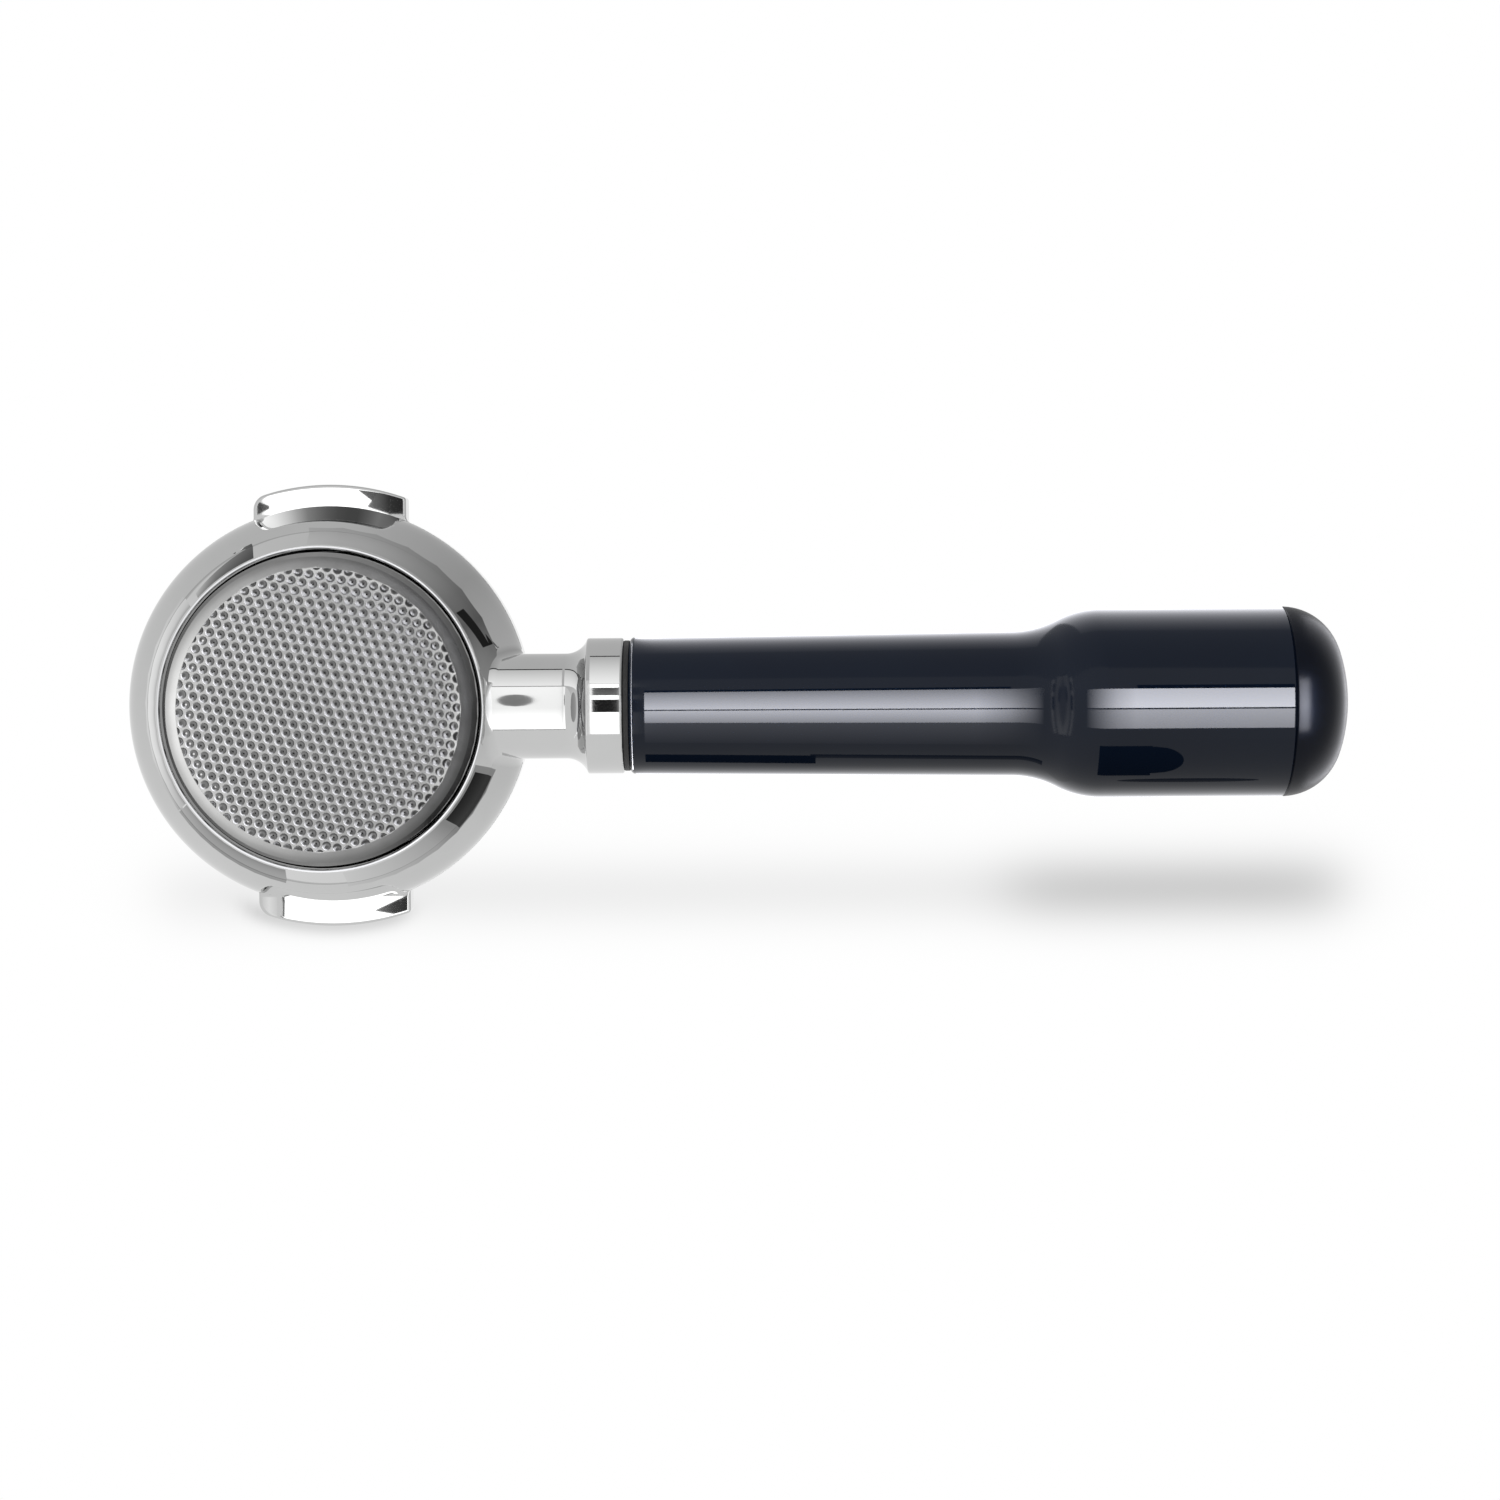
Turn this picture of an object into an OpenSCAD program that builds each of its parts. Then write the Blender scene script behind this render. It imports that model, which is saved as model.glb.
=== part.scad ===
// Bottomless portafilter for a 58 mm class espresso group.
// Millimetres. The ring's axis is Z, its rim lies at Z = 0, the basket opens
// upwards and the handle points along +X.

/* [Ring] */
// Diameter of the collar that enters the group
collar_d = 70; // [69:0.1:72]
// Height of the collar, from the rim to the bowl's shoulder and the lugs
collar_h = 4; // [3:0.5:5]
// Largest diameter of the rounded bowl
bowl_d = 76.8; // [75:0.1:80]
// Depth of the bowl's widest edge below the rim
bowl_depth = 12; // [11:0.5:13]
// Radius that rounds the bowl in towards the barrel
bowl_round = 10; // [9:0.5:12]
// Depth of the open mouth below the rim
ring_h = 27; // [26:0.5:29]
// Wall of the barrel where the bowl meets it
barrel_wall = 3.5; // [3:0.1:4]
// Wall of the rounded lip at the mouth
lip_w = 0.8; // [0.6:0.1:1.4]

/* [Lugs] */
// Distance over the two bayonet lugs
lug_span = 85; // [83:0.5:88]
// Width of a lug along the handle's direction
lug_w = 29.4; // [26:0.2:32]
// Thickness of a lug
lug_t = 6; // [5:0.5:7]
// Corner radius at the end of a lug that enters the group first
lug_round = 3; // [2:0.5:4]
// Length of the sloping lead-in under that end
lead_len = 4; // [3:0.5:8]
// Height of the lead-in
lead_h = 0.9; // [0.5:0.1:1.5]
// Diameter over the relief that is milled into the bowl under the lugs
relief_d = 70.6; // [70.2:0.1:74.4]
// Radius of the relief's ends
relief_round = 3; // [2:0.5:4]
// How far the relief's ends stay inside the lug's ends
relief_inset = 1; // [0.5:0.1:2]
// Radius of the cove between the relief and the lug's face
relief_cove = 2.6; // [1:0.1:2.8]

/* [Neck] */
// Depth of the neck's axis below the rim
neck_drop = 16.5; // [15:0.5:17.5]
// Diameter of the neck
neck_d = 20; // [18:0.5:22]
// Diameter of the hub that carries the handle
hub_d = 25.8; // [24:0.2:28]
// Length of the hub's straight part
hub_len = 6.9; // [5:0.1:9]
// Length of the hollow flare between neck and hub
flare_len = 4.2; // [3.6:0.1:6]
// Distance from the ring's axis to the hub's end face
hub_reach = 56.6; // [54:0.1:62]
// Rounded edges of the hub
hub_edge = 0.5; // [0.3:0.1:1]

/* [Basket] */
// Inner diameter of the basket at its rim
basket_d = 58.2; // [57.5:0.1:59]
// Thickness of the basket's sheet
basket_wall = 0.5; // [0.4:0.05:0.7]
// Depth of the basket below the ring's rim
basket_depth = 29.8; // [28:0.1:34]
// How much the wall draws in from the rim to the bottom
basket_taper = 0.2; // [0.1:0.1:0.8]
// Outer radius of the bottom corner
basket_corner = 2.9; // [2:0.1:3.2]
// Thickness of the rolled flange on the rim
flange_t = 0.9; // [0.7:0.1:1.2]
// How far the flange stays inside the collar
flange_inset = 0.2; // [0.1:0.05:0.6]
// Diameter of the perforated field
perf_d = 53; // [48:0.5:53]
// Distance between neighbouring dimples
hole_pitch = 2.03; // [1.9:0.01:4]
// Width of the web that is left between two dimples
web_w = 0.27; // [0.2:0.01:0.6]
// Depth of a dimple in the bottom's outer face
dimple_depth = 0.42; // [0.3:0.01:0.45]
// Diameter of the hole in a dimple
hole_d = 0.4; // [0.3:0.05:0.8]
// Diameter of the round inside which the dimples are pierced
pierced_d = 50.4; // [44:0.1:52]
// Turn of the rows of holes from the handle's direction
perf_turn = 11; // [0:1:59]

/* [Basket spring] */
// Depth of the spring's groove below the rim
spring_depth = 6; // [5:0.5:8]
// Diameter of the spring wire
wire_d = 1.4; // [1:0.1:1.6]
// Opening angle between the wire's ends
spring_gap_angle = 26; // [10:1:60]

/* [Handle] */
// Thickness of the washer between hub and handle
joint_t = 1.1; // [0.8:0.1:2]
// How far that washer lies inside the hub's edge
joint_inset = 0.5; // [0.3:0.1:1.5]
// Diameter of the grip at its front end
grip_front_d = 26; // [24:0.2:28]
// Rounded edge of the grip's front end
grip_edge = 1; // [0.5:0.1:2]
// Diameter of the grip in front of its shoulder
grip_waist_d = 27.6; // [26:0.2:30]
// Diameter of the thick end of the grip
grip_d = 36.1; // [34:0.1:39]
// Length of the slim front part
waist_len = 72.3; // [55:0.1:95]
// Length of the shoulder
shoulder_len = 17; // [14:0.5:24]
// Length of the thick part, up to the end cap
grip_end_len = 34.6; // [32:0.1:50]
// Length of the end cap
cap_len = 12.1; // [11.8:0.1:14]
// Radius of the cap's domed face
cap_dome = 32; // [30:0.5:40]
// Radius of the cap's corner
cap_corner = 11; // [9:0.5:11]
// Wall of the cap behind its domed face
cap_wall = 3.5; // [2:0.1:4]
// Depth of the seam between grip and cap
seam_depth = 0.3; // [0.2:0.05:0.5]

/* [Fastening inside the handle] */
// Diameter of the tie rod
rod_d = 10; // [8:0.5:12]
// Length of the rod inside the neck
rod_in = 18; // [12:0.5:20]
// How far the rod stands out of its nut
rod_proud = 2; // [1:0.5:4]
// Outer diameter of the bush in the grip's front end
bush_d = 16; // [15:0.5:18]
// Length of the bush
bush_len = 16; // [10:1:30]
// Outer diameter of the flat washer
washer_d = 20; // [18:0.5:21]
// Thickness of the flat washer
washer_t = 2; // [1.5:0.1:3]
// Outer diameter of the split lock washer
lock_d = 18; // [16:0.5:19]
// Thickness of the split lock washer
lock_t = 2.5; // [2:0.1:3]
// Width of the nut across its flats
nut_af = 16; // [14:0.5:17]
// Height of the nut
nut_t = 8; // [6:0.5:10]
// Outer diameter of the cap's plug
plug_d = 26; // [25:0.5:28]
// Wall of the cap's plug
plug_wall = 2; // [1.5:0.1:2.5]
// Length of the cap's plug
plug_len = 6; // [4:0.5:9]

/* [Clearances] */
// Radial gap between the basket and the ring's bore
basket_gap = 0.4; // [0.3:0.05:0.6]
// Radial gap between the basket and its spring
spring_gap = 0.3; // [0.2:0.05:0.4]
// Gap of fixed pieces that fit into each other
fit_gap = 0.05; // [0.02:0.01:0.1]
// Radial gap of holes that a fastener passes through
pass_gap = 0.3; // [0.2:0.05:0.6]
// Free space round the nut and its washers
nut_room = 0.5; // [0.3:0.1:1]

/* [Hidden] */
$fn = 96;
overcut = 1;

// Ring
collar_r = collar_d / 2;
bowl_r = bowl_d / 2;
basket_r = basket_d / 2 + basket_wall;
bore_r = basket_r + basket_gap;
crease_r = bore_r + barrel_wall;
bowl_axis_r = bowl_r - bowl_round;
crease_z = -bowl_depth - sqrt(pow(bowl_round, 2) - pow(crease_r - bowl_axis_r, 2));
lip_z = -ring_h + lip_w / 2;

// Lugs
lug_r = lug_span / 2;
lug_top_z = -collar_h;
lug_face_z = lug_top_z - lug_t;
lug_corner_x = lug_w / 2 - lug_round;
lug_corner_y = sqrt(pow(lug_r - lug_round, 2) - pow(lug_corner_x, 2));
lug_tangent_x = lug_corner_x * lug_r / (lug_r - lug_round);
relief_r = relief_d / 2;
relief_x = lug_w / 2 - relief_inset - relief_round;
relief_y = sqrt(pow(relief_r + relief_round, 2) - pow(relief_x, 2));
relief_tangent_x = relief_x * relief_r / (relief_r + relief_round);

// Neck
neck_r = neck_d / 2;
hub_r = hub_d / 2;
hub_start = hub_reach - hub_len;
flare_start = hub_start - flare_len;
flare_r = (pow(hub_r - neck_r, 2) + pow(flare_len, 2)) / (2 * (hub_r - neck_r));

// Basket
flange_r = collar_r - flange_inset;
perf_r = perf_d / 2;
hole_r = hole_d / 2;
dimple_r = (hole_pitch - web_w) / 2;
wire_r = wire_d / 2;
basket_r_at_spring = basket_r - basket_taper * spring_depth / (basket_depth - basket_corner);
spring_r = basket_r_at_spring + spring_gap + wire_r;

// Handle, measured along its own axis from the ring's axis
grip_start = hub_reach + joint_t;
shoulder_start = grip_start + waist_len;
shoulder_mid = shoulder_start + shoulder_len / 2;
shoulder_end = shoulder_start + shoulder_len;
grip_seam = shoulder_end + grip_end_len;
grip_tip = grip_seam + cap_len;
grip_front_r = grip_front_d / 2;
waist_r = grip_waist_d / 2;
grip_r = grip_d / 2;
mid_r = (waist_r + grip_r) / 2;
shoulder_round = (pow(shoulder_len / 2, 2) + pow(mid_r - waist_r, 2)) / (2 * (mid_r - waist_r));
dome_axis_s = grip_tip - cap_dome;
corner_r = grip_r - cap_corner;
corner_s = dome_axis_s + sqrt(pow(cap_dome - cap_corner, 2) - pow(corner_r, 2));
dome_edge_r = corner_r * cap_dome / (cap_dome - cap_corner);
seam_r = corner_r + sqrt(pow(cap_corner, 2) - pow(max(0, grip_seam - corner_s), 2));

// Fastening
rod_r = rod_d / 2;
bush_r = bush_d / 2;
plug_r = plug_d / 2;
plug_start = grip_seam - plug_len;
nut_end = plug_start - nut_room;
nut_start = nut_end - nut_t;
lock_start = nut_start - lock_t;
seat_s = lock_start - washer_t;
nut_corner_r = nut_af / 2 / cos(30);
pocket_r = max(washer_d / 2, nut_corner_r) + nut_room;

chrome = [0.80, 0.80, 0.81];
steel = [0.66, 0.67, 0.68];
gloss_blue_black = [0.10, 0.115, 0.15];
satin_blue_black = [0.13, 0.145, 0.18];
brass = [0.75, 0.60, 0.30];
rubber = [0.06, 0.06, 0.07];

// Turns a shape that was made along Z onto the handle's axis.
module on_handle_axis() {
    translate([0, 0, -neck_drop]) rotate([0, 90, 0]) children();
}

// A plain round hole or bar on the handle's axis, from one station to another.
module bar(r, from, to) {
    translate([0, 0, from]) cylinder(r = r, h = to - from);
}

// A round washer on the handle's axis.
module washer(outer_r, inner_r, from, t) {
    difference() {
        bar(outer_r, from, from + t);
        bar(inner_r, from - overcut, from + t + overcut);
    }
}

// Half section of the ring: collar, shoulder, bowl, crease, barrel and lip.
module ring_section() {
    shoulder = bowl_r - collar_r;
    shoulder_z = -collar_h - shoulder;
    translate([0, shoulder_z]) square([collar_r, -shoulder_z]);
    intersection() {
        translate([collar_r, shoulder_z]) circle(r = shoulder);
        translate([0, shoulder_z]) square([bowl_r, shoulder]);
    }
    translate([0, -bowl_depth]) square([bowl_r, bowl_depth + shoulder_z]);
    intersection() {
        translate([bowl_axis_r, -bowl_depth]) circle(r = bowl_round);
        translate([0, crease_z]) square([bowl_r, -bowl_depth - crease_z]);
    }
    polygon([[0, crease_z], [crease_r, crease_z], [bore_r + lip_w, lip_z], [0, lip_z]]);
    translate([bore_r + lip_w / 2, lip_z]) circle(r = lip_w / 2);
}

// Plan of one lug, square at the handle's side and rounded at the other.
module lug_plan() {
    intersection() {
        circle(r = lug_r);
        translate([-lug_tangent_x, 0]) square([lug_tangent_x + lug_w / 2, lug_r]);
    }
    translate([-lug_w / 2, 0]) square([lug_w / 2, lug_corner_y]);
    translate([-lug_corner_x, lug_corner_y]) circle(r = lug_round);
}

// Plan of the relief under one lug, with round ends.
module relief_plan() {
    reach = lug_r + overcut;
    difference() {
        translate([-relief_tangent_x, 0]) square([2 * relief_tangent_x, reach]);
        circle(r = relief_r);
    }
    translate([-relief_x - relief_round, relief_y])
        square([2 * (relief_x + relief_round), reach - relief_y]);
    for (side = [-1, 1])
        translate([side * relief_x, relief_y]) circle(r = relief_round);
}

// What is milled away under one lug, with a cove where the relief meets the lug's face.
module relief() {
    difference() {
        translate([0, 0, -ring_h]) linear_extrude(ring_h + lug_face_z) relief_plan();
        rotate_extrude() difference() {
            translate([relief_r - overcut, lug_face_z - relief_cove])
                square([relief_cove + overcut, relief_cove + overcut]);
            translate([relief_r + relief_cove, lug_face_z - relief_cove]) circle(r = relief_cove);
        }
    }
}

// The sloping lead-in under the rounded end of a lug.
module lead_in() {
    translate([-lug_w / 2 + lead_len, 0, lug_face_z]) rotate([0, atan(lead_h / lead_len), 0])
        translate([-2 * lead_len, relief_r, -lug_t]) cube([2 * lead_len, lug_r, lug_t]);
}

// Half section of the neck, its hollow flare and the hub.
module neck_section() {
    square([neck_r, flare_start]);
    difference() {
        translate([0, flare_start]) square([hub_r, flare_len]);
        translate([neck_r + flare_r, flare_start]) circle(r = flare_r);
    }
    translate([0, hub_start]) square([hub_r, hub_len - hub_edge]);
    translate([0, hub_reach - hub_edge]) square([hub_r - hub_edge, hub_edge]);
    translate([hub_r - hub_edge, hub_reach - hub_edge]) circle(r = hub_edge);
}

module body_casting() {
    color(chrome) difference() {
        union() {
            rotate_extrude() ring_section();
            for (side = [0, 1]) mirror([0, side, 0]) difference() {
                translate([0, 0, lug_face_z]) linear_extrude(lug_t) lug_plan();
                lead_in();
            }
            on_handle_axis() rotate_extrude() neck_section();
        }
        translate([0, 0, -ring_h - overcut]) cylinder(r = bore_r, h = ring_h + 2 * overcut);
        translate([0, 0, -spring_depth]) rotate_extrude()
            translate([spring_r, 0]) circle(r = wire_r + fit_gap);
        for (side = [0, 1]) mirror([0, side, 0]) relief();
        on_handle_axis() bar(rod_r + fit_gap, hub_reach - rod_in - overcut, hub_reach + overcut);
    }
}

// Half section of the basket's cup, drawn in by a distance on every side.
module cup_section(inset, top) {
    rim_r = basket_r - inset;
    foot_r = basket_r - basket_taper - inset;
    corner = basket_corner - inset;
    foot_z = -basket_depth + inset;
    polygon([[0, top], [rim_r, top], [rim_r, 0], [foot_r, foot_z + corner], [0, foot_z + corner]]);
    translate([0, foot_z]) square([foot_r - corner, corner]);
    translate([foot_r - corner, foot_z + corner]) circle(r = corner);
}

// The dimples' centres on a hexagonal grid, inside the perforated field.
function dimple_centres() = let (n = ceil(2 * perf_r / hole_pitch)) [
    for (row = [-n:n], col = [-n:n])
        let (p = hole_pitch * [col + row / 2, row * sqrt(3) / 2])
        if (norm(p) + dimple_r <= perf_r) p];

// The flange that lies on the ring's rim, with its rolled edge.
module flange_section() {
    square([flange_r - flange_t / 2, flange_t]);
    translate([flange_r - flange_t / 2, flange_t / 2]) circle(r = flange_t / 2);
}

// One conical dimple from the bottom's outer face upwards, with or without its hole.
module dimple(pierced) {
    flank = (dimple_r - hole_r) / dimple_depth;
    below = dimple_depth / 4;
    top = pierced ? basket_wall + overcut : dimple_depth;
    rotate_extrude($fn = 24) polygon([[0, -below], [dimple_r + flank * below, -below],
                                      [hole_r, dimple_depth], [hole_r, top], [0, top]]);
}

module filter_basket() {
    color(steel) difference() {
        union() {
            rotate_extrude() cup_section(0, flange_t);
            rotate_extrude() flange_section();
        }
        rotate_extrude() cup_section(basket_wall, flange_t + overcut);
        rotate([0, 0, perf_turn]) translate([0, 0, -basket_depth])
            for (p = dimple_centres()) translate(p) dimple(norm(p) <= pierced_d / 2);
    }
}

module basket_spring() {
    color(steel) translate([0, 0, -spring_depth])
        rotate([0, 0, 180 + spring_gap_angle / 2]) rotate_extrude(angle = 360 - spring_gap_angle)
            translate([spring_r, 0]) circle(r = wire_r);
}

module joint_washer() {
    color(rubber) on_handle_axis() washer(hub_r - joint_inset, rod_r + pass_gap, hub_reach, joint_t);
}

// Half section of grip and cap together: slim front, shoulder, thick end and dome.
module grip_section() {
    difference() {
        polygon([[0, grip_start], [grip_front_r - grip_edge, grip_start], [grip_front_r, grip_start + grip_edge],
                 [waist_r, shoulder_start], [mid_r, shoulder_start], [mid_r, shoulder_mid], [0, shoulder_mid]]);
        translate([waist_r + shoulder_round, shoulder_start]) circle(r = shoulder_round);
    }
    translate([grip_front_r - grip_edge, grip_start + grip_edge]) circle(r = grip_edge);
    intersection() {
        translate([0, shoulder_mid]) square([grip_r, shoulder_len / 2]);
        translate([grip_r - shoulder_round, shoulder_end]) circle(r = shoulder_round);
    }
    translate([0, shoulder_end]) square([grip_r, corner_s - shoulder_end]);
    translate([corner_r, corner_s]) circle(r = cap_corner);
    intersection() {
        translate([0, dome_axis_s]) circle(r = cap_dome);
        translate([0, corner_s]) square([dome_edge_r, cap_dome]);
    }
}

// The grip's section with the seam's groove, cut to a stretch along the axis.
module grip_stretch(from, to) {
    flank = seam_depth + overcut;
    difference() {
        intersection() {
            grip_section();
            translate([0, from]) square([grip_r + overcut, to - from]);
        }
        polygon([[seam_r - seam_depth, grip_seam], [seam_r + overcut, grip_seam - flank],
                 [seam_r + overcut, grip_seam + flank]]);
    }
}

module handle_grip() {
    color(gloss_blue_black) on_handle_axis() difference() {
        rotate_extrude() grip_stretch(grip_start, grip_seam);
        bar(bush_r + fit_gap, grip_start - overcut, grip_start + bush_len);
        bar(rod_r + pass_gap, grip_start, seat_s + overcut);
        bar(pocket_r, seat_s, grip_seam + overcut);
        bar(plug_r + fit_gap, plug_start, grip_seam + overcut);
    }
}

module handle_bush() {
    color(brass) on_handle_axis() washer(bush_r, rod_r + fit_gap, grip_start, bush_len);
}

module tie_rod() {
    point = rod_d / 10;
    from = hub_reach - rod_in;
    to = nut_end + rod_proud;
    color(steel) on_handle_axis() rotate_extrude()
        polygon([[0, from], [rod_r - point, from], [rod_r, from + point],
                 [rod_r, to - point], [rod_r - point, to], [0, to]]);
}

module flat_washer() {
    color(steel) on_handle_axis() washer(washer_d / 2, rod_r + pass_gap, seat_s, washer_t);
}

module lock_washer() {
    slit = lock_t / 2;
    color(steel) on_handle_axis() difference() {
        washer(lock_d / 2, rod_r + pass_gap, lock_start, lock_t);
        translate([0, 0, lock_start + lock_t / 2]) rotate([30, 0, 0])
            translate([0, -slit / 2, -lock_t]) cube([lock_d, slit, 2 * lock_t]);
    }
}

module tie_rod_nut() {
    color(steel) on_handle_axis() difference() {
        translate([0, 0, nut_start]) cylinder(r = nut_corner_r, h = nut_t, $fn = 6);
        bar(rod_r + fit_gap, nut_start - overcut, nut_end + overcut);
    }
}

module end_cap() {
    hollow_end = grip_tip - cap_wall;
    color(satin_blue_black) on_handle_axis() difference() {
        union() {
            rotate_extrude() grip_stretch(grip_seam, grip_tip);
            bar(plug_r, plug_start, grip_seam + cap_wall / 2);
        }
        bar(plug_r - plug_wall, plug_start - overcut, hollow_end);
    }
}

body_casting();
filter_basket();
basket_spring();
joint_washer();
handle_grip();
handle_bush();
tie_rod();
flat_washer();
lock_washer();
tie_rod_nut();
end_cap();
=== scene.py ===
import math

import bmesh
import bpy
from mathutils import Matrix, Vector


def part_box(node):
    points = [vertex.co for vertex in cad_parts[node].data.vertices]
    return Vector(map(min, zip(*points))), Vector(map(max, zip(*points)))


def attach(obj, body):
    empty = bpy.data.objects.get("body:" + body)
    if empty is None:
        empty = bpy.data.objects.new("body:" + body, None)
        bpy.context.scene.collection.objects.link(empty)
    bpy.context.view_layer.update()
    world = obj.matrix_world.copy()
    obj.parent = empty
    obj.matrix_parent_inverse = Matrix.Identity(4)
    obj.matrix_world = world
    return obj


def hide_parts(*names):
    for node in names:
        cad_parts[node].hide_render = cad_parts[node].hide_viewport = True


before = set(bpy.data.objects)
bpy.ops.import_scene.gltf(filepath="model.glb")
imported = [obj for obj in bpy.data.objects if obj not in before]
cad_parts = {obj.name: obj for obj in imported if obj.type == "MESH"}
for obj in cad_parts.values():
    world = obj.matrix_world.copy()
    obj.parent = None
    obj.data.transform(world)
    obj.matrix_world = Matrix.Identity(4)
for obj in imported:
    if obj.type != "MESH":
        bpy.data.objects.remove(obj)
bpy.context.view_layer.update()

# Sizes, in millimetres. The ring's axis is Z, its rim lies at Z = 0 and the handle points along +X.
MM = 0.001
MERGE = 0.004
SHARP_ANGLE = math.radians(38)
RING_STEPS = 540
BASKET_STEPS = 240
HANDLE_STEPS = 252
JOINT_STEPS = 192


def corners(node):
    """Lowest and highest corner of a CAD node, in millimetres."""
    low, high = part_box(node)
    return low / MM, high / MM


casting_low, casting_high = corners("body_casting")
basket_low, basket_high = corners("filter_basket")
joint_low, joint_high = corners("joint_washer")
grip_low, grip_high = corners("handle_grip")
cap_high = corners("end_cap")[1]

# Ring
COLLAR_R = 35.0
COLLAR_H = 4.0
BOWL_R = 38.4
BOWL_DEPTH = 12.0
BOWL_ROUND = 10.0
RING_H = 27.0
BORE_R = 30.0
BARREL_WALL = 3.5
LIP_W = 0.8
RIM_EDGE = 0.4
COLLAR_EDGE = 0.5
CREASE_EDGE = 0.35
LIP_EDGE = 0.3
SPRING_DEPTH = 6.0
SPRING_R = 30.555
GROOVE_R = 0.75
SHOULDER = BOWL_R - COLLAR_R
SHOULDER_Z = -COLLAR_H - SHOULDER
BOWL_AXIS_R = BOWL_R - BOWL_ROUND
CREASE_R = BORE_R + BARREL_WALL
CREASE_ANGLE = math.degrees(math.acos((CREASE_R - BOWL_AXIS_R) / BOWL_ROUND))
CREASE_Z = -BOWL_DEPTH - BOWL_ROUND * math.sin(math.radians(CREASE_ANGLE))
LIP_Z = -RING_H + LIP_W / 2
BARREL_SLOPE = (CREASE_R - BORE_R - LIP_W) / (CREASE_Z - LIP_Z)

# Lugs
LUG_R = casting_high.y
LUG_HALF = 14.7
LUG_TOP = -COLLAR_H
LUG_FACE = LUG_TOP - 6.0
LUG_NOSE = 3.0
LUG_HEEL = 0.7
LUG_ROOT = 1.2
LUG_EDGE = 0.4
FACE_LOOP = 0.3
FACE_STEP = 0.04
LUG_INSIDE = 32.5
LEAD_LEN = 4.0
LEAD_H = 0.9
RELIEF_R = 35.3
RELIEF_ROUND = 3.0
RELIEF_X = LUG_HALF - 1.0 - RELIEF_ROUND
RELIEF_COVE = 2.6

# Neck and hub
AXIS_Z = (grip_low.z + grip_high.z) / 2
HUB_END = casting_high.x
HUB_R = AXIS_Z - casting_low.z
HUB_LEN = 6.9
HUB_EDGE = 0.5
HUB_BACK = 1.2
HUB_DROP = 0.5
HUB_LEAN = 0.2
NECK_R = 10.0
FLARE_LEN = 4.2
FLARE_START = HUB_END - HUB_LEN - FLARE_LEN
FLARE_R = ((HUB_R - NECK_R) ** 2 + FLARE_LEN ** 2) / (2 * (HUB_R - NECK_R))
NECK_ROOT = 1.7
ROD_HOLE_R = 5.05
ROD_HOLE = 19.0
ROD_HOLE_EDGE = 0.2

# Basket
FLANGE_R = basket_high.x
FLANGE_TOP = basket_high.z
BASKET_R = 29.6
BASKET_WALL = 0.5
BASKET_FOOT_R = 29.4
BASKET_CORNER = 2.9
BASKET_Z = basket_low.z
FOOT_RISE = 0.5
FLANGE_EDGE = 0.75
FLANGE_ROOT = 0.25
FIELD_R = BASKET_FOOT_R - BASKET_CORNER
FIELD_SEAT = 0.1
FIELD_PLAY = 0.02
FIELD_MERGE = 0.01
PITCH = 2.03
FIELD_TURN = math.radians(11)
DIMPLE_R = 0.88
HOLE_R = 0.2
DIMPLE_DEPTH = 0.42
DIMPLE_PROFILE = ((DIMPLE_R, 0), (0.7, 0.2), (0.45, 0.34), (HOLE_R, DIMPLE_DEPTH))
DIMPLE_SHADE = 2.5
PIERCED_R = 25.2

# Handle
GRIP_START = grip_low.x
GRIP_SEAM = grip_high.x
GRIP_R = (grip_high.z - grip_low.z) / 2
GRIP_FRONT_R = 13.0
GRIP_FRONT_EDGE = 1.0
WAIST_R = 13.8
SHOULDER_START = GRIP_START + 72.3
SHOULDER_END = SHOULDER_START + 17.0
CAP_TIP = cap_high.x
CAP_DOME = 32.0
CAP_CORNER = 11.0
CAP_WALL = 3.5
SEAM = 0.3
PLUG_R = 13.0
PLUG_HOLE_R = PLUG_R + 0.05
PLUG_WALL = 2.0
PLUG_EDGE = 0.3
PLUG_FLOOR_EDGE = 0.5
PLUG_START = GRIP_SEAM - 6.0
POCKET_R = 10.5
POCKET_START = GRIP_SEAM - 19.0
BUSH_HOLE_R = 8.05
BUSH_HOLE_EDGE = 0.3
BUSH_LEN = 16.0
ROD_PASS_R = 5.3
JOINT_R = (joint_high.z - joint_low.z) / 2
JOINT_EDGE = 0.2
JOINT_HOLE_EDGE = 0.1
CORNER_R = GRIP_R - CAP_CORNER
DOME_AXIS = CAP_TIP - CAP_DOME
CORNER_S = DOME_AXIS + math.sqrt((CAP_DOME - CAP_CORNER) ** 2 - CORNER_R ** 2)

# Camera, from the photograph's perspective
EYE_AIM = Vector((80.4, 8.62, -16.5))
EYE_DISTANCE = 600.0
EYE_TILT = math.radians(3.0)
EYE_ROLL = math.radians(0.37)
EYE_LENS = 75.6
EYE_SENSOR = 36.0
FORWARD = Vector((0, math.sin(EYE_TILT), math.cos(EYE_TILT)))
EYE = EYE_AIM - FORWARD * EYE_DISTANCE


# Outlines
EDGE_SHARE = 0.49


def between(first, last, count):
    """Evenly spaced values from the first to the last."""
    return [first + (last - first) * i / (count - 1) for i in range(count)]


def along(values, share):
    """The value at a share of the way along evenly spaced values."""
    place = share * (len(values) - 1)
    low = min(int(place), len(values) - 2)
    return values[low] + (values[low + 1] - values[low]) * (place - low)


def arc(centre, radius, start, end, count):
    """Points of an arc from one angle to another, in degrees, each as a corner that isn't rounded."""
    angles = [math.radians(start + (end - start) * i / count) for i in range(count + 1)]
    return [(centre[0] + radius * math.cos(a), centre[1] + radius * math.sin(a), 0) for a in angles]


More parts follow.
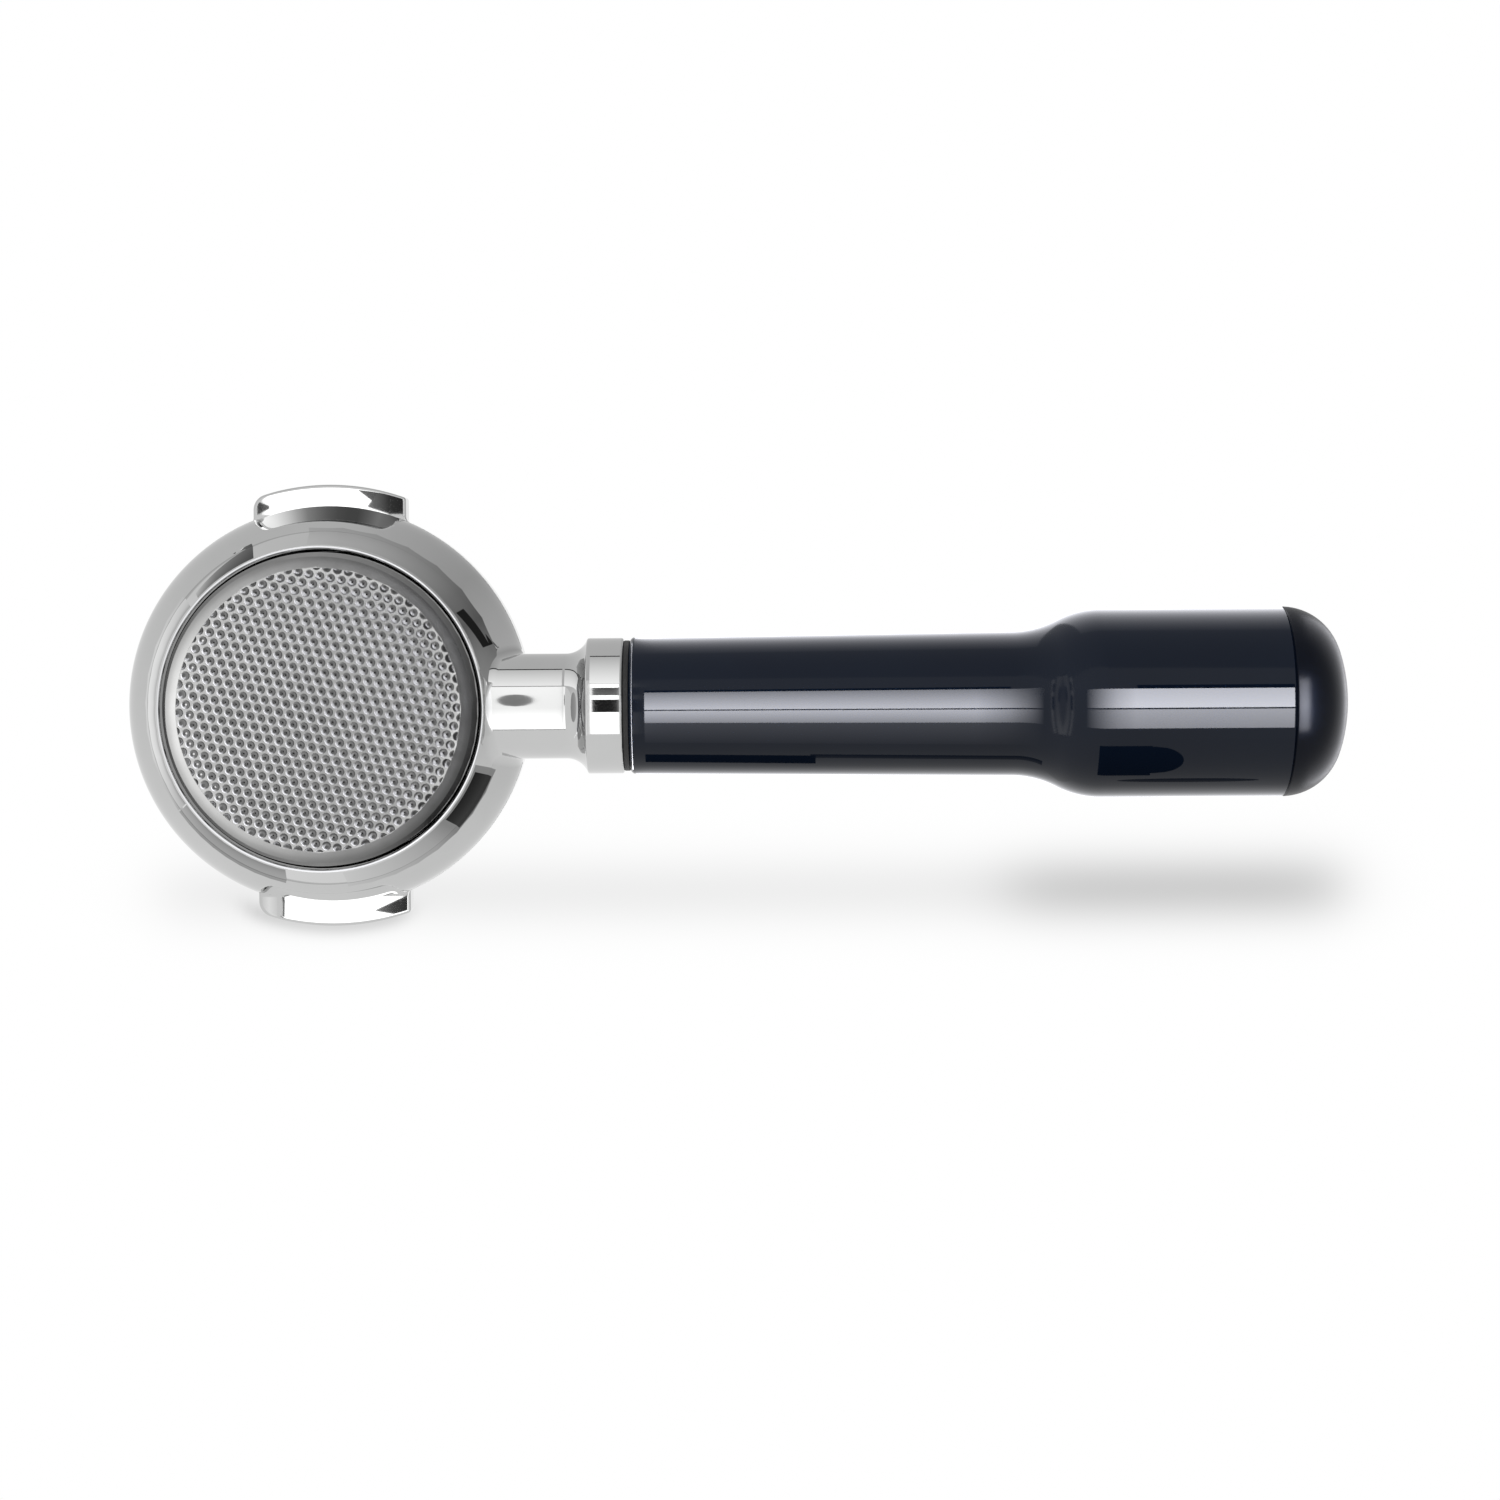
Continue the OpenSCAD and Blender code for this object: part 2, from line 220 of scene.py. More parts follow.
def turn(before, corner, after, radius, steps):
    """Points that round one corner of an outline by an arc."""
    to_before = before - corner
    to_after = after - corner
    half = to_before.angle(to_after) / 2
    reach = min(radius / math.tan(half), EDGE_SHARE * to_before.length, EDGE_SHARE * to_after.length)
    radius = reach * math.tan(half)
    to_before.normalize()
    to_after.normalize()
    centre = corner + (to_before + to_after).normalized() * radius / math.sin(half)
    first = corner + to_before * reach - centre
    last = corner + to_after * reach - centre
    sweep = first.angle_signed(last)
    return [centre + Matrix.Rotation(-sweep * i / steps, 2) @ first for i in range(steps + 1)]


def rounded(outline, steps=6, closed=True):
    """An outline of (across, along, radius) corners, with every corner rounded by its radius."""
    places = [Vector(c[:2]) for c in outline]
    points = []
    for i, (place, corner) in enumerate(zip(places, outline)):
        inner = closed or 0 < i < len(places) - 1
        if corner[2] and inner:
            points += turn(places[i - 1], place, places[(i + 1) % len(places)], corner[2], steps)
        else:
            points.append(place)
    return points


# Mesh operators that several pieces use
def skin(bm, rows, closed=True):
    """A skin over rows of points: the first row becomes edges, which are extruded from row to row."""
    line = [bm.verts.new(p) for p in rows[0]]
    pairs = list(zip(line, line[1:] + line[:1])) if closed else list(zip(line, line[1:]))
    edges = [bm.edges.new(p) for p in pairs]
    for row in rows[1:]:
        made = bmesh.ops.extrude_edge_only(bm, edges=edges)["geom"]
        fresh = {g for g in made if isinstance(g, bmesh.types.BMVert)}
        risen = [next(e.other_vert(v) for e in v.link_edges if e.other_vert(v) in fresh) for v in line]
        for vert, place in zip(risen, row):
            vert.co = place
        line = risen
        edges = [e for e in made if isinstance(e, bmesh.types.BMEdge) and all(v in fresh for v in e.verts)]
    return line


def spin(bm, outline, steps, sectors=12, closed=True):
    """Turns an outline of (across, along) points about Z: one sector first, which is then repeated."""
    line = [bm.verts.new((p[0], 0, p[1])) for p in outline]
    ends = line[1:] + line[:1] if closed else line[1:]
    edges = [bm.edges.new(p) for p in zip(line, ends)]
    centre = {"cent": (0, 0, 0), "axis": (0, 0, 1), "dvec": (0, 0, 0)}
    bmesh.ops.spin(bm, geom=line + edges, angle=math.tau / sectors, steps=steps // sectors, **centre)
    sector = bm.verts[:] + bm.edges[:] + bm.faces[:]
    bmesh.ops.spin(bm, geom=sector, angle=math.tau * (sectors - 1) / sectors, steps=sectors - 1,
                   use_duplicate=True, **centre)
    bmesh.ops.remove_doubles(bm, verts=bm.verts, dist=MERGE)


def onto_handle_axis(bm):
    """Lays what was turned about Z onto the handle's axis."""
    place = Matrix.Translation((0, 0, AXIS_Z)) @ Matrix.Rotation(math.radians(90), 4, "Y")
    bmesh.ops.transform(bm, matrix=place, verts=bm.verts)


def close(bm):
    """Closes what is open, merges doubles and turns the faces outwards."""
    bmesh.ops.remove_doubles(bm, verts=bm.verts, dist=MERGE)
    bmesh.ops.holes_fill(bm, edges=bm.edges, sides=0)
    bmesh.ops.recalc_face_normals(bm, faces=bm.faces)


def as_mesh(bm, name):
    """The bmesh as a mesh in metres, smooth but for its sharp edges."""
    bmesh.ops.scale(bm, vec=(MM, MM, MM), verts=bm.verts)
    mesh = bpy.data.meshes.new(name)
    bm.to_mesh(mesh)
    bm.free()
    mesh.shade_smooth()
    mesh.set_sharp_from_angle(angle=SHARP_ANGLE)
    return mesh


def as_object(mesh, name):
    """A mesh as an object of the scene."""
    piece = bpy.data.objects.new(name, mesh)
    bpy.context.scene.collection.objects.link(piece)
    return piece


def give_points(mesh, name, values):
    """Stores one value for every point of a mesh."""
    mesh.attributes.new(name, "FLOAT", "POINT").data.foreach_set("value", values)


def as_piece(bm, name, material, body, node):
    """A finished piece that stands for a CAD node and moves with its body."""
    close(bm)
    piece = as_object(as_mesh(bm, name), name)
    piece.data.materials.append(material)
    weigh = piece.modifiers.new("flat_faces_stay_flat", "WEIGHTED_NORMAL")
    weigh.keep_sharp = True
    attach(piece, body)
    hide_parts(node)
    return piece


# The chromed casting
def ring_r(z):
    """Outer radius of the ring at a height."""
    if z >= -COLLAR_H:
        return COLLAR_R
    if z > SHOULDER_Z:
        return COLLAR_R + math.sqrt(SHOULDER ** 2 - (z - SHOULDER_Z) ** 2)
    if z > -BOWL_DEPTH:
        return BOWL_R
    if z > CREASE_Z:
        return BOWL_AXIS_R + math.sqrt(BOWL_ROUND ** 2 - (z + BOWL_DEPTH) ** 2)
    return CREASE_R + (z - CREASE_Z) * BARREL_SLOPE


def ring_outline():
    """Section of the ring: rim, collar, shoulder, bowl, crease, barrel, lip, bore and spring groove."""
    cove = [(BOWL_R, LUG_FACE - RELIEF_COVE * (1 - math.sin(math.radians(t))), 0)
            for t in range(90, -1, -9)]
    bowl = arc((BOWL_AXIS_R, -BOWL_DEPTH), BOWL_ROUND, 0, -CREASE_ANGLE, 34)
    lip_r = ring_r(-RING_H)
    groove = math.degrees(math.acos((BORE_R - SPRING_R) / GROOVE_R))
    return rounded(
        [(BORE_R, 0, RIM_EDGE), (COLLAR_R, 0, COLLAR_EDGE), (COLLAR_R, -COLLAR_H, COLLAR_EDGE)]
        + arc((COLLAR_R, SHOULDER_Z), SHOULDER, 72, 0, 12)
        + [(BOWL_R, LUG_FACE + FACE_STEP, 0)] + cove + bowl[:-1]
        + [(CREASE_R, CREASE_Z, CREASE_EDGE), (lip_r, -RING_H, LIP_EDGE), (BORE_R, -RING_H, LIP_EDGE)]
        + arc((SPRING_R, -SPRING_DEPTH), GROOVE_R, -groove, groove, 12))


def relief_wall(across, out):
    """Radius of the milled wall under a lug, along a direction in plan."""
    centre = Vector((RELIEF_X, math.sqrt((RELIEF_R + RELIEF_ROUND) ** 2 - RELIEF_X ** 2)))
    if abs(across) * RELIEF_R <= RELIEF_X * RELIEF_R / (RELIEF_R + RELIEF_ROUND):
        return RELIEF_R
    reach = centre.dot(Vector((abs(across), out)))
    room = reach ** 2 - centre.length_squared + RELIEF_ROUND ** 2
    return reach - math.sqrt(room) if room > 0 else math.inf


def mill_relief(bm):
    """Cuts the bowl back under the lugs, with a cove up to the lug's face."""
    for vert in bm.verts:
        r = math.hypot(vert.co.x, vert.co.y)
        if vert.co.z > LUG_FACE + FACE_STEP / 4 or r < RELIEF_R:
            continue
        up = max(0.0, min(1.0, (vert.co.z - LUG_FACE + RELIEF_COVE) / RELIEF_COVE))
        limit = relief_wall(vert.co.x / r, abs(vert.co.y) / r) + RELIEF_COVE * (1 - math.sqrt(1 - up ** 2))
        if r > limit:
            vert.co.x *= limit / r
            vert.co.y *= limit / r


def lug_outline(z, inset):
    """Plan of a lug at a height, drawn in by an inset: root, heel, outer arc, nose, root, inner arc."""
    half = LUG_HALF - inset
    reach = LUG_R - inset
    heel = LUG_HEEL - inset
    nose = LUG_NOSE - inset
    root = LUG_ROOT + inset
    root_x = half + root
    root_y = math.sqrt((ring_r(z) - MERGE + root) ** 2 - root_x ** 2)
    lean = math.degrees(math.atan2(root_y, root_x))

    def outer_corner(radius):
        """Centre of an outer corner's arc, and the angle at which it meets the outer arc."""
        x = half - radius
        y = math.sqrt((reach - radius) ** 2 - x ** 2)
        return x, y, math.degrees(math.atan2(y, x))

    heel_x, heel_y, first = outer_corner(heel)
    nose_x, nose_y, nose_angle = outer_corner(nose)
    last = 180 - nose_angle
    outline = (
        arc((root_x, root_y), root, 180 + lean, 180, 8)
        + arc((heel_x, heel_y), heel, 0, first, 8)
        + arc((0, 0), reach, first, last, 40)[1:-1]
        + arc((-nose_x, nose_y), nose, last, 180, 10)
        + arc((-root_x, root_y), root, 0, -lean, 8)
        + arc((0, 0), LUG_INSIDE, 180 - lean, lean, 14))
    return [corner[:2] for corner in outline]


def add_lug(bm, side):
    """One bayonet lug with rounded edges and a sloping lead-in under its nose."""
    turns = [math.radians(22.5 * i) for i in range(5)]
    rounding = [(LUG_EDGE * (1 - math.cos(t)), LUG_EDGE * (1 - math.sin(t))) for t in turns]
    low, high = LUG_FACE + LUG_EDGE, LUG_TOP - LUG_EDGE
    levels = [(LUG_FACE, LUG_EDGE + FACE_LOOP)]
    levels += [(LUG_FACE + rise, inset) for rise, inset in rounding]
    levels += [(z, 0) for z in between(low, high, 15)[1:-1]]
    levels += [(LUG_TOP - rise, inset) for rise, inset in reversed(rounding)]
    levels += [(LUG_TOP, LUG_EDGE + FACE_LOOP)]
    rows = [[(x, side * y, z) for x, y in lug_outline(z, inset)] for z, inset in levels]
    before = set(bm.verts)
    skin(bm, rows)
    bmesh.ops.holes_fill(bm, edges=bm.edges, sides=0)
    lug = [v for v in bm.verts if v not in before]
    lead_x = LEAD_LEN - LUG_HALF
    geom = lug + list({e for v in lug for e in v.link_edges}) + list({f for v in lug for f in v.link_faces})
    bmesh.ops.bisect_plane(bm, geom=geom, dist=0.0001, plane_co=(lead_x, 0, 0), plane_no=(1, 0, 0))
    for vert in bm.verts:
        if vert not in before and vert.co.x < lead_x:
            share = (LUG_TOP - vert.co.z) / (LUG_TOP - LUG_FACE)
            vert.co.z += share * LEAD_H * (lead_x - vert.co.x) / LEAD_LEN


def neck_outline():
    """(radius, station) corners from the rod's hole over the hub and its flare to the neck."""
    steep = math.degrees(math.asin(FLARE_LEN / FLARE_R))
    flare = arc((NECK_R + FLARE_R, FLARE_START), FLARE_R, 180 - steep, 180, 14)
    return rounded(
        [(ROD_HOLE_R, HUB_END - ROD_HOLE, 0), (ROD_HOLE_R, HUB_END, ROD_HOLE_EDGE),
         (HUB_R, HUB_END, HUB_EDGE), (HUB_R, HUB_END - HUB_LEN, HUB_BACK),
         (HUB_R - HUB_DROP, HUB_END - HUB_LEN - HUB_LEAN, 0)]
        + [c for c in flare if c[0] < HUB_R - HUB_DROP - 0.1], closed=False)


def add_neck(bm, sides=240):
    """Hub, flare and neck, which runs out into the ring in a fillet."""
    angles = [math.tau * i / sides for i in range(sides)]

    def station(r, s):
        return [(s, r * math.sin(a), AXIS_Z + r * math.cos(a)) for a in angles]

    def on_ring(share, turn_angle, depth):
        row = []
        for a in angles:
            room = (AXIS_Z + RING_H - LIP_EDGE) / max(1e-6, -math.cos(a)) - NECK_R
            root = min(NECK_ROOT, room)
            r = share * (NECK_R + root * (1 - math.cos(turn_angle)))
            y, z = r * math.sin(a), AXIS_Z + r * math.cos(a)
            wall = BORE_R + (ring_r(z) - BORE_R) * depth
            row.append((math.sqrt(wall ** 2 - y ** 2) + root * (1 - math.sin(turn_angle)) * share, y, z))
        return row

    rows = [station(p[0], p[1]) for p in neck_outline()]
    steps, sink, inside = 12, 0.0005, 0.45
    rows += [on_ring(1, math.radians(90 * i / steps), 1 - sink * i / steps) for i in range(steps + 1)]
    rows += [on_ring(share, math.radians(90), inside) for share in (1, 0.75, 0.5, 0.25)]
    skin(bm, rows)


def make_casting(material):
    bm = bmesh.new()
    spin(bm, ring_outline(), RING_STEPS)
    mill_relief(bm)
    add_lug(bm, 1)
    add_lug(bm, -1)
    add_neck(bm)
    return as_piece(bm, "chromed_ring", material, "holder", "body_casting")


# The filter basket
def basket_outline():
    """Section of the drawn cup with its rolled flange, open where the perforated field is set in."""
    inner_r = BASKET_R - BASKET_WALL
    inner_foot = BASKET_FOOT_R - BASKET_WALL
    corner_z = BASKET_Z + BASKET_CORNER
    roll = FLANGE_TOP / 2
    return rounded(
        [(FIELD_R, BASKET_Z + BASKET_WALL, 0)]
        + arc((FIELD_R, corner_z), BASKET_CORNER - BASKET_WALL, -80, 0, 8)
        + [(inner_foot, corner_z + FOOT_RISE, 0), (inner_r, 0, 0), (inner_r, FLANGE_TOP, FLANGE_EDGE)]
        + arc((FLANGE_R - roll, roll), roll, 90, -90, 12)
        + [(BASKET_R, 0, FLANGE_ROOT), (BASKET_FOOT_R, corner_z + FOOT_RISE, 0)]
        + arc((FIELD_R, corner_z), BASKET_CORNER, 0, -90, 14)
        + [(FIELD_R, BASKET_Z + FIELD_SEAT, 0)])


def cell_ring(reaches, z):
    """Twelve points around a cell of the field, at two reaches that take turns."""
    angles = [math.radians(30 * i) for i in range(12)]
    return [(reaches[i % 2] * math.cos(a), reaches[i % 2] * math.sin(a), z) for i, a in enumerate(angles)]


def cell_mesh(pierced):
    """One pressed dimple in its hexagonal cell, with or without its hole."""
    bm = bmesh.new()
    border = (PITCH / 2, PITCH / math.sqrt(3))
    rows = [cell_ring(border, 0)] + [cell_ring((r, r), depth) for r, depth in DIMPLE_PROFILE]
    lid = cell_ring(border, BASKET_WALL)
    if pierced:
        skin(bm, rows + [cell_ring((HOLE_R, HOLE_R), BASKET_WALL), lid])
    else:
        tip = skin(bm, rows)
        bmesh.ops.edgeloop_fill(bm, edges=[e for e in bm.edges if all(v in tip for v in e.verts)])
        bmesh.ops.contextual_create(bm, geom=[bm.verts.new(p) for p in lid])
    mesh = bpy.data.meshes.new("cell")
    bm.to_mesh(mesh)
    bm.free()
    return mesh


def field_patch():
    """The dimples on their hexagonal grid, as a closed plate that reaches past the field's edge."""
    bm = bmesh.new()
    cells = {pierced: cell_mesh(pierced) for pierced in (True, False)}
    count = math.ceil(FIELD_R / PITCH) + 4
    for row in range(-count, count + 1):
        for column in range(-2 * count, 2 * count + 1):
            place = Vector((PITCH * (column + row / 2), PITCH * row * math.sqrt(3) / 2, BASKET_Z))
            if place.xy.length > FIELD_R + PITCH:
                continue
            mesh = cells[place.xy.length < PIERCED_R]
            mesh.transform(Matrix.Translation(place))
            bm.from_mesh(mesh)
            mesh.transform(Matrix.Translation(-place))
    bmesh.ops.remove_doubles(bm, verts=bm.verts, dist=FIELD_MERGE)
    edge = [e for e in bm.edges if e.is_boundary and e.verts[0].co.z < BASKET_Z + BASKET_WALL / 2]
    made = bmesh.ops.extrude_edge_only(bm, edges=edge)["geom"]
    risen = [g for g in made if isinstance(g, bmesh.types.BMVert)]
    bmesh.ops.translate(bm, vec=(0, 0, BASKET_WALL), verts=risen)
    bmesh.ops.remove_doubles(bm, verts=bm.verts, dist=FIELD_MERGE)
    bmesh.ops.rotate(bm, cent=(0, 0, 0), matrix=Matrix.Rotation(FIELD_TURN, 3, "Z"), verts=bm.verts)
    bmesh.ops.recalc_face_normals(bm, faces=bm.faces)
    return bm


def cut_round(bm, radius):
    """The part of a closed plate that lies inside a round outline."""
    patch = bpy.data.meshes.new("patch")
    bm.to_mesh(patch)
    bm.free()
    tool = bmesh.new()
    bmesh.ops.create_cone(tool, cap_ends=True, segments=256, radius1=radius, radius2=radius, depth=4,
                          matrix=Matrix.Translation((0, 0, BASKET_Z)))
    cutter = bpy.data.meshes.new("cutter")
    tool.to_mesh(cutter)
    tool.free()
    plate, round_bar = as_object(patch, "patch"), as_object(cutter, "cutter")
    cut = plate.modifiers.new("round", "BOOLEAN")
    cut.operation = "INTERSECT"
    cut.solver = "MANIFOLD"
    cut.object = round_bar
    field = bpy.data.meshes.new_from_object(plate.evaluated_get(bpy.context.evaluated_depsgraph_get()))
    for scrap in (plate, round_bar):
        bpy.data.objects.remove(scrap)
    return field


def paint_dimple_shade(mesh):
    """Gives every point of the bottom an amount of painted shade, from 0 on the webs to 1 in the lower part
    of its dimple.
    """
    painted_shades = []
    for vert in mesh.vertices:
        place = vert.co / MM
        depth = (place.z - BASKET_Z) / DIMPLE_DEPTH
        in_dimple = depth <= 1.01 and math.hypot(place.x, place.y) < FIELD_R
        painted_shades.append(min(1.0, max(0.0, DIMPLE_SHADE * depth)) if in_dimple else 0.0)
    give_points(mesh, "dimple", painted_shades)


def make_basket(material):
    bm = bmesh.new()
    spin(bm, basket_outline(), BASKET_STEPS)
    bm.from_mesh(cut_round(field_patch(), FIELD_R - FIELD_PLAY))
    piece = as_piece(bm, "pressed_basket", material, "basket", "filter_basket")
    paint_dimple_shade(piece.data)
    return piece


# The handle
def shoulder_curve():
    """Points of the S-shaped shoulder between the slim and the thick part."""
    half = (SHOULDER_END - SHOULDER_START) / 2
    rise = (GRIP_R - WAIST_R) / 2
    radius = (half ** 2 + rise ** 2) / (2 * rise)
    sweep = math.degrees(math.asin(half / radius))
    hollow = arc((WAIST_R + radius, SHOULDER_START), radius, 180, 180 - sweep, 14)
    crown = arc((GRIP_R - radius, SHOULDER_END), radius, -sweep, 0, 14)
    return hollow + crown[1:]


def seam_angle(gap):
    """Angle on the cap's corner at a distance past the seam."""
    return math.degrees(math.asin((GRIP_SEAM + gap - CORNER_S) / CAP_CORNER))


def seam_r():
    """Radius at the bottom of the seam between grip and cap."""
    return CORNER_R + CAP_CORNER * math.cos(math.radians(seam_angle(0))) - SEAM


def make_grip(material):
    bm = bmesh.new()
    bush_end = GRIP_START + BUSH_LEN
    outline = (
        [(BUSH_HOLE_R, GRIP_START, BUSH_HOLE_EDGE), (GRIP_FRONT_R, GRIP_START, GRIP_FRONT_EDGE)]
        + shoulder_curve()
        + [(GRIP_R, GRIP_SEAM - SEAM, 0), (seam_r(), GRIP_SEAM, 0), (PLUG_HOLE_R, GRIP_SEAM, 0),
           (PLUG_HOLE_R, PLUG_START, 0), (POCKET_R, PLUG_START, 0), (POCKET_R, POCKET_START, 0),
           (ROD_PASS_R, POCKET_START, 0), (ROD_PASS_R, bush_end, 0), (BUSH_HOLE_R, bush_end, 0)])
    spin(bm, rounded(outline, steps=8), HANDLE_STEPS)
    onto_handle_axis(bm)
    return as_piece(bm, "handle_moulding", material, "holder", "handle_grip")


def make_cap(material):
    bm = bmesh.new()
    lean = math.degrees(math.asin(CORNER_R / (CAP_DOME - CAP_CORNER)))
    outline = (
        [(0, CAP_TIP - CAP_WALL, 0), (PLUG_R - PLUG_WALL, CAP_TIP - CAP_WALL, PLUG_FLOOR_EDGE),
         (PLUG_R - PLUG_WALL, PLUG_START, PLUG_EDGE), (PLUG_R, PLUG_START, PLUG_EDGE),
         (PLUG_R, GRIP_SEAM, 0), (seam_r(), GRIP_SEAM, 0)]
        + arc((CORNER_R, CORNER_S), CAP_CORNER, seam_angle(SEAM), 90 - lean, 16)
        + arc((0, DOME_AXIS), CAP_DOME, 90 - lean, 90, 16)[1:])
    spin(bm, rounded(outline, closed=False), HANDLE_STEPS, closed=False)
    onto_handle_axis(bm)
    return as_piece(bm, "handle_end_cap", material, "holder", "end_cap")


def make_joint(material):
    bm = bmesh.new()
    outline = [(ROD_PASS_R, HUB_END, JOINT_HOLE_EDGE), (JOINT_R, HUB_END, JOINT_EDGE),
               (JOINT_R, GRIP_START, JOINT_EDGE), (ROD_PASS_R, GRIP_START, JOINT_HOLE_EDGE)]
    spin(bm, rounded(outline), JOINT_STEPS)
    onto_handle_axis(bm)
    return as_piece(bm, "joint_ring", material, "holder", "joint_washer")


# Effects that several finishes share
def new_group(name, inputs, outputs):
    """An empty node group with its named values."""
    group = bpy.data.node_groups.new(name, "ShaderNodeTree")
    for label in inputs:
        group.interface.new_socket(label, in_out="INPUT", socket_type="NodeSocketFloat")
    for label in outputs:
        group.interface.new_socket(label, in_out="OUTPUT", socket_type="NodeSocketFloat")
    return group, group.nodes.new("NodeGroupInput"), group.nodes.new("NodeGroupOutput")


def add_noise(group, given, detail, roughness):
    """Noise on the piece's own coordinates, at the scale that the group is given."""
    place = group.nodes.new("ShaderNodeTexCoord")
    noise = group.nodes.new("ShaderNodeTexNoise")
    noise.inputs["Detail"].default_value = detail
    noise.inputs["Roughness"].default_value = roughness
    group.links.new(place.outputs["Object"], noise.inputs["Vector"])
    group.links.new(given.outputs["Scale"], noise.inputs["Scale"])
    return noise.outputs["Fac"]


def haze_group():
    """Soft uneven haze of a handled surface, as a value between two limits."""
    group, given, out = new_group("handled_haze", ["Scale", "Low", "High"], ["Value"])
    spread = group.nodes.new("ShaderNodeMapRange")
    spread.inputs["From Min"].default_value = 0.3
    spread.inputs["From Max"].default_value = 0.7
    group.links.new(add_noise(group, given, 4, 0.6), spread.inputs["Value"])
    group.links.new(given.outputs["Low"], spread.inputs["To Min"])
    group.links.new(given.outputs["High"], spread.inputs["To Max"])
    group.links.new(spread.outputs["Result"], out.inputs["Value"])
    return group


def grain_group():
    """Fine even grain, as a height."""
    group, given, out = new_group("fine_grain", ["Scale"], ["Height"])
    group.links.new(add_noise(group, given, 3, 0.7), out.inputs["Height"])
    return group


class Finish:
    """A material with one Principled shader and places for the shared effects."""

    def __init__(self, name, colour, metallic=0.0, roughness=0.5, **plain):
        self.material = bpy.data.materials.new(name)
        self.material.use_nodes = True
        self.nodes = self.material.node_tree.nodes
        self.links = self.material.node_tree.links
        self.shader = self.nodes["Principled BSDF"]
        self.shader.inputs["Base Color"].default_value = (*colour, 1)
        self.shader.inputs["Metallic"].default_value = metallic
        self.shader.inputs["Roughness"].default_value = roughness
        for label, value in plain.items():
            self.shader.inputs[label.replace("_", " ")].default_value = value

    def effect(self, group, **values):
        node = self.nodes.new("ShaderNodeGroup")
        node.node_tree = group
        for label, value in values.items():
            node.inputs[label].default_value = value
        return node.outputs[0]

    def uneven_roughness(self, scale, low, high):
        self.links.new(self.effect(haze, Scale=scale, Low=low, High=high), self.shader.inputs["Roughness"])

    def blend(self, factor):
        """A mix of two colours by a factor, as its two inputs and its output."""
        mix = self.nodes.new("ShaderNodeMix")
        mix.data_type = "RGBA"
        self.links.new(factor, mix.inputs["Factor"])
        low, high = (i for i in mix.inputs if i.type == "RGBA")
        return low, high, next(o for o in mix.outputs if o.type == "RGBA")

    def uneven_colour(self, scale, dark, light):
        low, high, mixed = self.blend(self.effect(haze, Scale=scale, Low=0.0, High=1.0))
        low.default_value = (*dark, 1)
        high.default_value = (*light, 1)
        self.links.new(mixed, self.shader.inputs["Base Color"])

    def darker_by(self, attribute, colour):
        """Runs the colour towards a darker one where the piece's own attribute rises to 1."""
        given = self.nodes.new("ShaderNodeAttribute")
        given.attribute_name = attribute
        low, high, mixed = self.blend(given.outputs["Fac"])
        socket = self.shader.inputs["Base Color"]
        self.links.new(socket.links[0].from_socket, low)
        high.default_value = (*colour, 1)
        self.links.new(mixed, socket)

    def glows_away_from_middle(self, first, last):
        """Runs from unlit to white light between two distances, in metres."""
        place = self.nodes.new("ShaderNodeTexCoord")
        distance = self.nodes.new("ShaderNodeVectorMath")
        distance.operation = "LENGTH"
        level = self.nodes.new("ShaderNodeMapRange")
        level.inputs["From Min"].default_value = first
        level.inputs["From Max"].default_value = last
        self.links.new(place.outputs["Object"], distance.inputs[0])
        self.links.new(distance.outputs["Value"], level.inputs["Value"])
        self.shader.inputs["Emission Color"].default_value = (1, 1, 1, 1)
        self.links.new(level.outputs["Result"], self.shader.inputs["Emission Strength"])

    def grainy(self, scale, height, strength):
        bump = self.nodes.new("ShaderNodeBump")
        bump.inputs["Strength"].default_value = strength
        bump.inputs["Distance"].default_value = height * MM
        self.links.new(self.effect(grain, Scale=scale), bump.inputs["Height"])
        self.links.new(bump.outputs["Normal"], self.shader.inputs["Normal"])


haze = haze_group()
grain = grain_group()


def chrome_finish():
    finish = Finish("polished_chrome", (0.54, 0.542, 0.54), metallic=1.0)
    finish.uneven_colour(45, (0.525, 0.527, 0.525), (0.555, 0.557, 0.555))
    finish.uneven_roughness(90, 0.035, 0.06)
    finish.grainy(55, 0.25, 0.02)
    return finish.material


def basket_finish():
    finish = Finish("pressed_steel", (0.7, 0.7, 0.694), metallic=1.0)
    finish.uneven_colour(160, (0.67, 0.67, 0.664), (0.73, 0.73, 0.724))
    # Painted shade: the steel runs darker towards the bottom of each dimple, as far as the points' stored
    # amount rises.
    finish.darker_by("dimple", (0.19, 0.19, 0.19))
    finish.uneven_roughness(300, 0.16, 0.24)
    finish.grainy(2600, 0.02, 0.15)
    return finish.material


def steel_finish(name, tone, low, high):
    finish = Finish(name, tone, metallic=1.0)
    finish.uneven_colour(220, tuple(0.92 * c for c in tone), tone)
    finish.uneven_roughness(400, low, high)
    finish.grainy(1800, 0.02, 0.2)
    return finish.material


def grip_finish():
    finish = Finish("gloss_blue_black", (0.003, 0.007, 0.0175), Specular_IOR_Level=0.21)
    finish.uneven_colour(30, (0.0025, 0.006, 0.0155), (0.0035, 0.008, 0.0195))
    finish.uneven_roughness(70, 0.09, 0.13)
    finish.grainy(900, 0.01, 0.05)
    return finish.material


def cap_finish():
    finish = Finish("satin_blue_black", (0.0015, 0.003, 0.008), Specular_IOR_Level=0.12)
    finish.uneven_colour(500, (0.0012, 0.0025, 0.007), (0.0018, 0.0035, 0.009))
    finish.uneven_roughness(120, 0.28, 0.34)
    finish.grainy(2200, 0.03, 0.35)
    return finish.material


def rubber_finish():
    finish = Finish("joint_rubber", (0.012, 0.012, 0.012))
    finish.uneven_roughness(300, 0.5, 0.65)
    finish.grainy(1500, 0.03, 0.3)
    return finish.material


